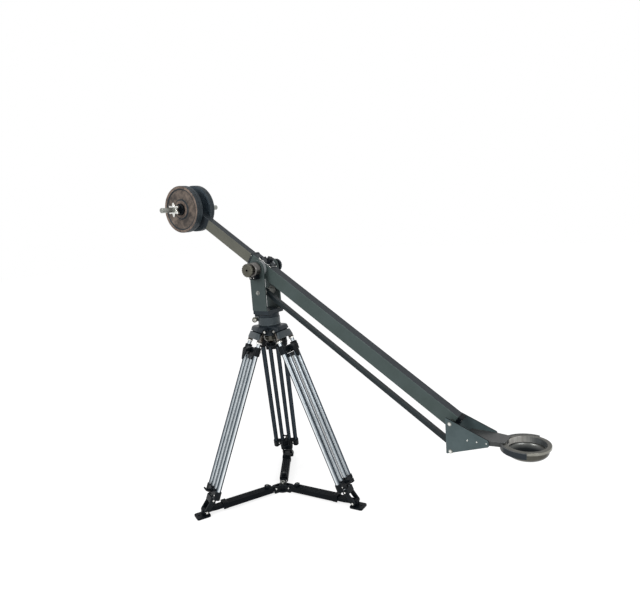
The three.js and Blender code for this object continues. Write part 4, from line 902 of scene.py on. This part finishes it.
# Only the plate's sides are chrome; its top keeps the slate enamel as painted shade, like the
# boom's top
clamp = piece("clamp_plate", "boom", "slate_enamel", [clamp_form], BOOM, ["arm_clamp_plate"])
repaint(clamp, "chrome_plate", BOOM, lambda normal, middle: not looks_up(normal, middle))
screws("clamp_plate_screws", "boom", "black_stove_paint", upward((-26, 43), (-16, 16), 38), BOOM,
       4.2, 4, 2)
lock_neck = [(0, -11), (5, -11), (5, 0), (9, 0), (8, 5), (8, 9), (0, 9)]
piece("arm_lock_grip", "arm_lock", "black_powder_coat",
      [lathed(lock_neck, 0.4), grip(6, 17, 3, 8, 26, 3.5)], BOOM @ shift(14, 0, 38.6),
      ["arm_lock_knob"])

# %% [markdown]
# ## Rear arm and counterweights
# The rear arm is a smaller tube that slides out of the boom. Its end block holds a turned
# steel bar with two cast plates on each side. A plate's profile has a raised rim and a
# raised hub, and one spin of the profile makes it, as its foundry pattern was made.

# %% Sliding tube and weight block
rear_skin = piece("rear_box_tube", "rear_arm", "rear_enamel", [box_tube(40, 54, 3, 3, -395, 150)],
                  BOOM, ["rear_arm_tube"])
# Its upper face takes the slate enamel too: painted shade
repaint(rear_skin, "slate_enamel", BOOM, looks_up)
block_form = sawn(rectangle((-592, -395.3), 27, 6), "y", -20, 20, 1.6)
boss = moved(softened(pin(19, -28.9, 22.4, "y", 48), 1), shift(-WEIGHT_BACK, 0, 0))
piece("weight_block", "rear_arm", "slate_enamel", [block_form, boss], BOOM, ["weight_bar_block"])
bar_profile = [(0, -187), (11, -187), (12.5, -185), (12.5, 193), (11, 195), (0, 195)]
piece("weight_spindle", "rear_arm", "machined_steel", [lathed(bar_profile, 0.4, 56)],
      WEIGHTS @ NEAR, ["weight_bar"])

# %% Cast plates
PLATE_EYE, PLATE_WALL = 29, 116  # a plate's flat sides reach from its eye to its outer wall


def reach(point):
    """How far a point lies from the z axis."""
    return math.hypot(point.x, point.y)


def plate_profile(thickness):
    """Radius and place over one face, then the same face turned over."""
    web = (thickness - 9) / 2
    face = [(13.2, 2.4), (28, 2.4), (30, 0), (45, 0), (51, web), (97, web), (106, 0), (117.6, 0)]
    back = [(radius, thickness - place) for radius, place in reversed(face)]
    return eased(face + back, 2.2, 3)


def weight_plate(name, out, seat, thickness, finish):
    """One plate on the bar, rubbed on its raised rim and hub."""
    form = lathed(plate_profile(thickness), 0.5, 112, 1, 24)
    reaches = [(face, reach(face.calc_center_median())) for face in form.faces]
    mark_worn(form, [face for face, far in reaches if far > 103 or PLATE_EYE < far < 46])
    place = WEIGHTS @ out @ shift(0, 0, seat)
    return piece(name + "_disc", name, finish, [form], place, [name]), place


def wall_or_hub(normal, middle):
    """The outer wall, the hub's slope and eye, and the foot of the rim's slope."""
    far = reach(middle)
    return far > PLATE_WALL or 44.5 < far < 52 or 97.5 < far < 102 or far < PLATE_EYE


def flat_side(normal, middle):
    return abs(normal.z) > 0.9 and PLATE_EYE < reach(middle) < PLATE_WALL


outer_plate, outer_place = weight_plate("weight_near_outer", NEAR, 48.5, 19, "worn_iron")
# The slate at the foot of the rim's slope is painted shade in the recess's corner
repaint(outer_plate, "slate_iron", outer_place, wall_or_hub)
for word, out, seat, thickness in (("near", NEAR, 29.2, 19), ("far", FAR, 22.7, 15.5)):
    inner_plate, inner_place = weight_plate(f"weight_{word}_inner", out, seat, thickness,
                                            "slate_iron")
    # their flat sides towards the arm are painted lighter: painted fill light
    repaint(inner_plate, "slate_iron_painted_light", inner_place, flat_side)
weight_plate("weight_far_outer", FAR, 38.5, 15.5, "slate_iron")

# %% Star collars
BAR_BORE = 12.9
star_outline = star(6, 36.8, 21, 1.3)
for word, out, seat in (("near", NEAR, 67.8), ("far", FAR, 54.3)):
    place = WEIGHTS @ out @ shift(0, 0, seat)
    hub = [(BAR_BORE, 0.2), (29, 0.2), (29, 10), (27, 11), (22, 11.5), (22, 36.8),
           (BAR_BORE, 36.8)]
    body = f"spin_lock_{word}"
    piece(f"spin_hub_{word}", body, "black_powder_coat", [lathed(hub, 0.7, 56)], place)
    points = sawn(star_outline, "z", 37.2, 49.8, 1.8, 3, [circle(BAR_BORE, 40)])
    nose = softened(pin(19, 49.5, 52.8, bore=BAR_BORE, sides=40), 0.6)
    piece(f"spin_star_{word}", body, "chrome_plate", [points, nose], place, [body])
print("outline points of a star collar", len(star_outline))

# %% [markdown]
# ## Control rod and levelling head
# The rod runs under the boom and keeps the head level. The head is two plates, a flat arm and a
# half ring that carries the bowl. The plates' sawn edges take black paint as painted shade, so a
# second finish goes on every face that doesn't look sideways.

# %% Control rod and head plates with black edges
piece("rod_box_tube", "control_rod", "rod_enamel", [box_tube(25, 20, 2.5, 2.4, -16, 1136)], ROD,
      ["control_rod"])
HEAD_SIDE = eased([(-18, 24), (156, -45), (156, -70), (-18, -128)], 5)
head_holes = [circle(6.4, 28), circle(6.4, 28, 0, -LINK)]
for side, word in zip(SIDES, ("near", "far")):
    plate = sawn(HEAD_SIDE, "y", *beside(side, 49, 55), 0.7, holes=head_holes)
    cheek = piece(f"head_side_{word}", "head", "head_enamel", [plate], HEAD,
                  [f"head_plate_{word}"])
    # Every face that doesn't look sideways takes black paint: painted shade on the sawn edges
    repaint(cheek, "black_stove_paint", HEAD, lambda normal, middle: abs(normal.y) < 0.6)

# %% Pivot bolts of the head
def head_bolt(name, drop, carried):
    """A bolt through both plates with spacers up to the part that it carries."""
    forms = [pin(6, -57, 57, "y")]
    for side in SIDES:
        forms.append(softened(pin(11, *beside(side, carried + 0.3, 48.7), "y"), 0.6))
        forms.append(softened(pin(8.6, *beside(side, 55.2, 56.6), "y"), 0.4))
    piece(name + "_shank", "head", "machined_steel", forms, HEAD @ shift(0, 0, -drop), [name])


head_bolt("head_bolt_upper", 0, 25)
head_bolt("head_bolt_lower", LINK, 12.5)
screws("head_bolt_heads", "head", "chrome_plate", flanks(56.4, (0, 0), (0, -LINK)), HEAD,
       6.4, 2.4, 2, 6)
screws("arm_screws", "head", "chrome_plate", flanks(54.8, (71, -57), (109, -57), (147, -57)),
       HEAD, 3, 1.2, 1.2)

# %% Flat arm and half ring
def arc_turned(profile, first, last):
    """A profile swept round the z axis between two bearings, with flat ends."""
    steps = 72
    loops = []
    for i in range(steps + 1):
        a = math.radians(first + (last - first) * i / steps)
        loops.append([(r * math.cos(a), r * math.sin(a), h) for r, h in profile])
    return skinned(loops)


arm_plan = [(52, -48.7), (156, -48.7), (214, -39), (214, 39), (156, 48.7), (52, 48.7)]
tongue = sawn(eased(arm_plan, 3), "z", -66.8, -47.2, 1.2)
ring_profile = [(82.4, -75), (99, -75), (99, -51.4), (90.6, -51.4), (90.6, -63), (82.4, -63)]
half_ring = moved(softened(arc_turned(ring_profile, 76, 284), 0.8), shift(BOWL_OUT, 0, 0))
arm_and_ring = piece("arm_and_ring", "head", "arm_enamel", [tongue, half_ring], HEAD,
                     ["bowl_arm"])


def ring_wall(normal, middle):
    """The ring's outer wall, which the photograph shows much darker than its top."""
    return reach(middle) > 97.5 and middle.x > -70 and abs(normal.z) < 0.9


# The ring's outer wall takes the slate enamel as painted shade
repaint(arm_and_ring, "slate_enamel", BOWL, ring_wall)

# %% Turned bowl
CUP_EDGE = -24  # the bore ends and the round cup begins at this height


def bowl_profile():
    """Up the inside from the rim, round the cup and out again."""
    steps = 16
    inside, outside = [], []
    for i in range(steps + 1):
        a = i / steps * math.acos(20 / 73)
        inside.append((73 * math.cos(a), CUP_EDGE - 30 * math.sin(a)))
        b = i / steps * math.acos(20 / 81)
        outside.insert(0, (81 * math.cos(b), CUP_EDGE - 35 * math.sin(b)))
    rim = [(81, -11), (88.8, -11), (89.8, -10), (89.8, -1.4), (88.4, 0)]
    return [(74, 0), (73, -1), (73, CUP_EDGE + 1), *inside, *outside, *rim]


bowl_form = lathed(bowl_profile(), 0.4, 120, 1)
bowl_shell = piece("turned_bowl_shell", "head", "turned_bowl", [bowl_form], BOWL, ["bowl"])


def in_cup(normal, middle):
    return middle.z < CUP_EDGE + 0.5 and normal.z > 0.02


def in_bore(normal, middle):
    return middle.z > CUP_EDGE + 0.5 and reach(middle) < 73.2


def rim_edge(normal, middle):
    return middle.z > CUP_EDGE + 0.5 and reach(middle) > 89


# The cup's falling tone is painted shade, and the bore's bright sector and the rim edge's light
# tone are painted highlights
repaint(bowl_shell, "dark_bowl", BOWL, in_cup)
repaint(bowl_shell, "bright_bowl", BOWL, in_bore)
repaint(bowl_shell, "cut_aluminium", BOWL, rim_edge)

# %% [markdown]
# ## Legs
# Each leg has three moving lengths. The yoke swings on the crown and carries two thin tubes,
# the middle frame slides on them, and the foot frame slides in that. The castings are black
# and the tubes are silver, so each length is a casting piece and a tube piece. The leg is
# drawn once, pointing down its own z axis, and placed three times.

# %% Yoke arms and their thin tubes
TUBES_OUT = 18  # how far all tubes lie in front of the hinge
WIDE, NARROW = 54, 19  # half the distance between the outer tubes and the inner ones
LEVER_PIN = shift(44, 0, -97)
WING_SCREW = shift(0, 0, -788)


def leg_piece(k, word, body, finish, forms, node=""):
    """A piece in the frame of leg k. It may stand for a node of that leg."""
    leg = f"leg_{k + 1}_"
    piece(leg + word, body, finish, forms, LEGS[k], [leg + node] if node else ())


def yoke_arm(side):
    """One cast arm from the hinge eye down to its tube."""
    path = [(0, side * 31, -1), (4, side * 34, -11), (11, side * 44, -28), (18, side * 53, -44)]
    return limb([*path, (18, side * 54, -53)], [7.6, 8.6, 10.5, 12.5, 13], 28)


def leg_bush(radius, low, high, y, edge=0.8, bore=0):
    """A tube, or a turned or cast sleeve round a tube, at y."""
    return moved(softened(pin(radius, low, high, sides=40, bore=bore), edge),
                 shift(TUBES_OUT, y, 0))


def bush_pair(radius, low, high, spread, edge=0.5, bore=0):
    return [leg_bush(radius, low, high, side * spread, edge, bore) for side in SIDES]


def skirt():
    """The shell in front of the arms. It widens downwards under the crown's lobe."""
    levels = ((-43, 62, 1.2), (-42, 62, 0), (-26, 57, 0), (-12, 51, 0), (-11, 51, 1.2))
    loops = []
    for z, half, inset in levels:
        outer = bowed_end(37.6 - inset, half - inset, 22)
        inner = bowed_end(31, half - 6, 22)
        loops.append([(x, y, z) for x, y in outer + inner[::-1]])
    return skinned(loops)


def leg_yoke(k):
    body = f"leg_{k + 1}_upper"
    bridge = sawn(rectangle((8, 33), 58, 8), "z", -44, -35, 1.6)
    leg_piece(k, "yoke_skirt", body, "bearing_powder_coat", [skirt(), bridge], "yoke")
    arms = [yoke_arm(side) for side in SIDES]
    arms += [softened(pin(8.4, *beside(side, 26.4, 36), "y", 36), 1) for side in SIDES]
    leg_piece(k, "yoke_arms", body, "black_chrome", arms)
    leg_piece(k, "collars", body, "chrome_plate", bush_pair(13.8, -60, -52.6, WIDE, 0.8))
    leg_piece(k, "thin_tubes", body, "anodised_tube", bush_pair(9.4, -366, -50, WIDE))


print("faces of a yoke arm", len(yoke_arm(1).faces))

# %% Middle frame: clamp, outer tubes and bracket
def clamp_half(side):
    """One clamp ring with its raised band and the waist that joins it to the lug."""
    ring = leg_bush(17, -118, -76, side * WIDE, 1.4, 9.8)
    shoulder = [(9, side * 8), (9, side * 44), (31, side * 44), (31, side * 8)]
    waist = sawn(eased(shoulder, 4), "z", -120, -83, 1.6)
    return [ring, waist, leg_bush(18.4, -100, -94, side * WIDE, bore=12)]


def leg_middle(k):
    body = f"leg_{k + 1}_middle"
    lug_side = [(27, -109), (33, -110), (44, -105), (44, -89), (33, -84), (27, -85)]
    eye = moved(softened(pin(7.8, -11.8, 11.8, "y", 32), 0.8), LEVER_PIN)
    forms = [sawn(lug_side, "y", -11.8, 11.8, 1), eye, *clamp_half(-1), *clamp_half(1)]
    forms += bush_pair(16, -814, -775, WIDE, 1.8)
    forms += bush_pair(13.4, -812, -772, NARROW, 1, 10.9)
    holes = [circle(10.9, 32, TUBES_OUT, side * NARROW) for side in SIDES]
    forms.append(sawn(rectangle((6, 31), 56, 6), "z", -801, -778, 1.2, holes=holes))
    for side in SIDES:
        rib = rectangle((side * 36 - 2, side * 36 + 2), (-810, -776))
        forms.append(sawn(rib, "x", 9, 29, 0.8))
    forms.append(moved(softened(pin(9.4, 29, 37, "x", 32, 4.3), 0.8), WING_SCREW))
    leg_piece(k, "frame_castings", body, "black_powder_coat", forms, "frame")
    leg_piece(k, "outer_tubes", body, "anodised_tube", bush_pair(11.5, -779, -114, WIDE))
    fixings = [((5.6, side * WIDE * 0.7, -789), (-1, 0, 0)) for side in SIDES]
    fixings += [((33.6, side * WIDE, -794), (1, 0, 0)) for side in SIDES]
    screws(f"leg_{k + 1}_frame_screws", body, "chrome_plate", fixings, LEGS[k], 3.4, 1.8, 1.5)


print("faces of half a clamp", sum(len(form.faces) for form in clamp_half(1)))

# %% Foot frame: guide, inner tubes and the forked casting
def prong(side):
    """One prong of the fork, with the eye of the ankle pin."""
    y = beside(side, 18.4, 27.2)
    shank = [(7, -836), (31, -836), (45.5, -884), (44, -893), (34, -899), (25, -893), (22, -884)]
    eye = moved(softened(pin(12, *y, "y", 40), 1), shift(34, 0, -888))
    return [sawn(eased(shank, 4), "y", *y, 1.4), eye]


def leg_bottom(k):
    body = f"leg_{k + 1}_bottom"
    guide = sawn(rectangle((9, 27), 40, 6), "z", -140, -122, 1.2)
    collar = sawn(rectangle((5, 34), 33, 9), "z", -842, -814.4, 2, 3)
    forms = [guide, collar, *prong(-1), *prong(1), *bush_pair(12.6, -819, -815, NARROW, 0.6)]
    leg_piece(k, "foot_casting", body, "black_powder_coat", forms, "lower")
    leg_piece(k, "inner_tubes", body, "anodised_tube", bush_pair(10.5, -838, -124, NARROW))
    screws(f"leg_{k + 1}_foot_bolts", body, "chrome_plate", flanks(32.6, (20.4, -828)), LEGS[k],
           4.6, 2, 2)


print("faces of a prong", sum(len(form.faces) for form in prong(1)))

# %% Flip lever and winged screw
def flip_lever(k):
    """Two cheeks on the lug's pin and a blade that hangs in front of them."""
    cheek = eased([(-7, 0), (0, 8), (15, 2), (15, -12), (0, -9)], 3)
    forms = [moved(sawn(cheek, "y", *beside(side, 12.4, 20), 1), LEVER_PIN) for side in SIDES]
    blade = [(-20, -6), (-20, -20), (-9, -52), (-5, -60), (5, -60), (9, -52), (20, -20), (20, -6)]
    forms.append(moved(sawn(eased(blade, 4), "x", 52.4, 58.8, 1.8, 3), shift(0, 0, -91)))
    forms.append(moved(softened(pin(4, -20.4, 20.4, "y"), 0.5), LEVER_PIN))
    leg_piece(k, "flip_lever", f"flip_lever_{k + 1}", "black_stove_paint", forms, "lever")


def wing_screw(k):
    """A shank with a T handle whose two wings sweep up a little."""
    path = [(64, -16.6, -784), (60, -12, -787), (58.6, 0, -788), (60, 12, -787), (64, 16.6, -784)]
    wings = softened(limb(path, [3.4, 4.2, 5, 4.2, 3.4], 24), 1, 2, 50)
    shank, nut = softened(pin(4, 25.5, 59, "x"), 0.4), softened(pin(7, 37.4, 43, "x", 6), 0.6)
    forms = [moved(shank, WING_SCREW), moved(nut, WING_SCREW), wings]
    leg_piece(k, "t_screw", f"wing_screw_{k + 1}", "black_stove_paint", forms, "wing_screw")


for k in range(3):
    for build in (leg_yoke, leg_middle, leg_bottom, flip_lever, wing_screw):
        build(k)

# %% [markdown]
# ## Ground spreader
# Three ribbed channels fold out from a small hub and hold the legs apart. A bar slides out of
# each channel and ends in a flat foot. The channel is one extruded section. Its end clamp
# wears a row of ridges, which the ridge tree lays on marked points.

# %% Hub with its forks
FORK_OUT = 45


def fork(k):
    """Two cheeks and the pin on which channel arm k folds."""
    cheek = eased([(12, 0.4), (54, 0.4), (57, 8), (57, 28), (50, 35), (12, 35)], 4)
    forms = [sawn(cheek, "y", *beside(side, 10.1, 15.9), 0.8) for side in SIDES]
    forms.append(moved(softened(pin(4, -17, 17, "y"), 0.4), shift(FORK_OUT, 0, FOOT_UP)))
    return [moved(form, FLOORS[k]) for form in forms]


hub_profile = [(0, 0.2), (33, 0.2), (34, 1.5), (34, 7.5), (32.5, 9), (21, 10), (21, 33), (18, 36),
               (0, 36)]
piece("hub_casting", "hub", "black_powder_coat",
      [lathed(hub_profile, 0.6), *fork(0), *fork(1), *fork(2)], UPRIGHT, ["spreader_hub"])
ring_section = [(6, 36), (12, 36), (12, 46), (10.6, 47), (7.4, 47), (6, 45.6)]
piece("hub_ring", "hub", "machined_steel", [lathed(ring_section, 0.4, 40)], UPRIGHT)
screws("hub_fork_bolts", "hub", "chrome_plate", on_arms(flanks(16.2, (FORK_OUT, FOOT_UP))),
       UPRIGHT, 4, 2, 1.8)

# %% Channel arms with their end clamps
def channel_section():
    """Half wide, thin walled, open below, with three low ribs on top."""
    top = [(21, 38)]
    for centre in (10, 0, -10):
        top += [(centre + 2.4, 38), (centre + 1.7, 39.5), (centre - 1.7, 39.5), (centre - 2.4, 38)]
    return [(-21, 11), (-18, 11), (-18, 35), (18, 35), (18, 11), (21, 11), *top, (-21, 38)]


def clamp_section(outer):
    """The same channel without ribs, thicker on the outside."""
    half, top = 21 + outer, 39.6 + outer
    return [(-half, 11), (-18.1, 11), (-18.1, 35.1), (18.1, 35.1), (18.1, 11), (half, 11),
            (half, top), (-half, top)]


for k in range(3):
    arm, node = f"arm_{k + 1}", f"spreader_{k + 1}_"
    forms = [sawn(channel_section(), "x", 62, 322, 0.5, 1),
             sawn(clamp_section(2.2), "x", 303, 326, 0.9),
             sawn(rectangle((35.4, 66), (15.2, 34.8), 8), "y", -9.5, 9.5, 0.8),
             slab(rectangle(20.6, (11.2, 37.6)), "x", 62, 65)]
    piece(f"{arm}_channel", arm, "black_stove_paint", forms, FLOORS[k], [node + "arm"])
    marks = [((307 + 5 * i, 0, 41.4), (0, 1, 0)) for i in range(4)]
    grown(f"{arm}_clamp_ridges", arm, "black_stove_paint", ridge_tree,
          {"Length": 40.0, "Radius": 1.5}, marks, FLOORS[k])
    lock, body = FLOORS[k] @ shift(88, 0, 39.9), f"arm_knob_{k + 1}"
    piece(f"{arm}_lock_grip", body, "black_powder_coat",
          [grip(6, 14, 2.4, 0, 13, 3), pin(4, -4.4, 2)], lock, [node + "knob"])
    screws(f"{arm}_lock_cap", body, "machined_steel", upward((0,), (0,), 12.6), lock, 4, 1, 1.8)

# %% Sliding bars and feet
bar_plan = [(100, -17.6), (360, -17.6), (382, -14), (428, -14), (428, 14), (382, 14), (360, 17.6),
            (100, 17.6)]
for k in range(3):
    forms = [sawn(bar_plan, "z", 16, 34, 0.9)]
    forms += [sawn(rectangle((334, 378), (y - 1.6, y + 1.6)), "z", 33.6, 35.2, 0.5)
              for y in (-9, 0, 9)]
    forms.append(sawn(rectangle((398, 428), 13.8, 4), "z", 7, 20, 1))
    shoe = rectangle((394, 459.8), 30.8, 10)
    forms.append(sawn(shoe, "z", 0.1, 9, 1.2, holes=[circle(5, 28, 444, 0)]))
    ankle = [softened(pin(12, -17.8, 17.8, "y", 40), 0.8), softened(pin(5, -31, 31, "y"), 0.4)]
    forms += [moved(form, shift(FOOT_OUT, 0, FOOT_UP)) for form in ankle]
    piece(f"foot_{k + 1}_bar_and_shoe", f"foot_{k + 1}", "black_stove_paint", forms, FLOORS[k],
          [f"foot_{k + 1}_bar"])
    screws(f"foot_{k + 1}_ankle_nuts", f"foot_{k + 1}", "chrome_plate",
           flanks(27.6, (FOOT_OUT, FOOT_UP)), FLOORS[k], 6, 3.6, 2, 6)

# %% [markdown]
# ## Studio
# The photograph shows the jib on plain white. A pale floor keeps a soft shadow, and the world
# and the floor show white to the camera and in reflections. Two large area lamps give the
# light a direction, at a level where a colour renders about as it is written.

# %% World
def seen_directly(tree):
    """1 for rays from the camera and for mirror and glass rays, or else 0."""
    path = add_node(tree, "ShaderNodeLightPath").outputs
    seen = path["Is Camera Ray"]
    for ray in ("Is Glossy Ray", "Is Transmission Ray"):
        seen = add_node(tree, "ShaderNodeMath", {0: seen, 1: path[ray]}, operation="MAXIMUM")
    return seen


# Half strength lights the object, and a strength of one is the white that is seen
HALF_LIGHT, WHITE = 0.5, 1.0
world = bpy.data.worlds.new("Pale studio")
sky = emptied(world)
level = add_node(sky, "ShaderNodeMapRange",
                 {"Value": seen_directly(sky), "To Min": HALF_LIGHT, "To Max": WHITE})
glow = add_node(sky, "ShaderNodeBackground", {"Color": (1, 1, 1, 1), "Strength": level})
add_node(sky, "ShaderNodeOutputWorld", {"Surface": glow})
bpy.context.scene.world = world
print("world nodes", len(sky.nodes))

# %% Floor
# Seen directly, the floor glows up to white. To the object it is matt and pale
FLOOR_HALF, FLOOR_DEPTH = 14, 0.0005  # in metres
paper = bpy.data.materials.new("pale_floor")
sheet_tree = emptied(paper)
matt = add_node(sheet_tree, "ShaderNodeBsdfDiffuse", {"Color": linear("#dcdcdc")})
half_matt = add_node(sheet_tree, "ShaderNodeBsdfDiffuse", {"Color": linear("#b4b4b4")})
lift = add_node(sheet_tree, "ShaderNodeEmission", {"Strength": 0.78})
bright = add_node(sheet_tree, "ShaderNodeAddShader", {0: half_matt, 1: lift})
floor_look = add_node(sheet_tree, "ShaderNodeMixShader",
                      {0: seen_directly(sheet_tree), 1: matt, 2: bright})
close_finish(sheet_tree, floor_look)
floor_mesh = bpy.data.meshes.new("floor")
floor_corners = [(x, y, -FLOOR_DEPTH) for x, y in rectangle(FLOOR_HALF, FLOOR_HALF)]
floor_mesh.from_pydata(floor_corners, [], [(0, 1, 2, 3)])
floor_mesh.materials.append(paper)
floor = added("floor", floor_mesh)
print("floor", FLOOR_HALF * 2, "metres")

# %% Lamps
def area_lamp(name, place, aim, size, power):
    """A square soft box that looks at a point."""
    data = bpy.data.lights.new(name, "AREA")
    data.size = size
    data.energy = power
    lamp = added(name, data)
    lamp.location = place
    lamp.rotation_euler = (Vector(aim) - Vector(place)).to_track_quat("-Z", "Y").to_euler()


area_lamp("key", (-0.4, -3.6, 2.9), (0.4, 0, 0.6), 1.2, 60)
area_lamp("fill", (3.6, -1.8, 2.2), (0.6, 0, 0.6), 1.6, 40)
print("lamps", len(bpy.data.lights))

# %% Camera
# The camera was fitted to the photograph together with the object's sizes
CAMERA_AT = Vector((1.794816, -2.148156, 1.415588))
YAW, PITCH, ROLL = (math.radians(value) for value in (-34.672, -8.948, -3.973))
FOCAL_PIXELS, FRAME_PIXELS, SENSOR_MM = 583.39, 640, 36
ahead = Vector((math.sin(YAW) * math.cos(PITCH), math.cos(YAW) * math.cos(PITCH), math.sin(PITCH)))
level_right = Vector((math.cos(YAW), -math.sin(YAW), 0))
level_up = level_right.cross(ahead)
right = math.cos(ROLL) * level_right + math.sin(ROLL) * level_up
up = -math.sin(ROLL) * level_right + math.cos(ROLL) * level_up
lens = bpy.data.cameras.new("camera")
lens.sensor_width = SENSOR_MM
lens.lens = FOCAL_PIXELS * SENSOR_MM / FRAME_PIXELS
camera = added("camera", lens)
camera.matrix_world = Matrix((right, up, -ahead)).transposed().to_4x4()
camera.matrix_world.translation = CAMERA_AT
bpy.context.scene.camera = camera
bpy.context.scene.view_settings.view_transform = "Standard"
print("lens", round(lens.lens, 2))

# %% The end
bpy.context.view_layer.update()
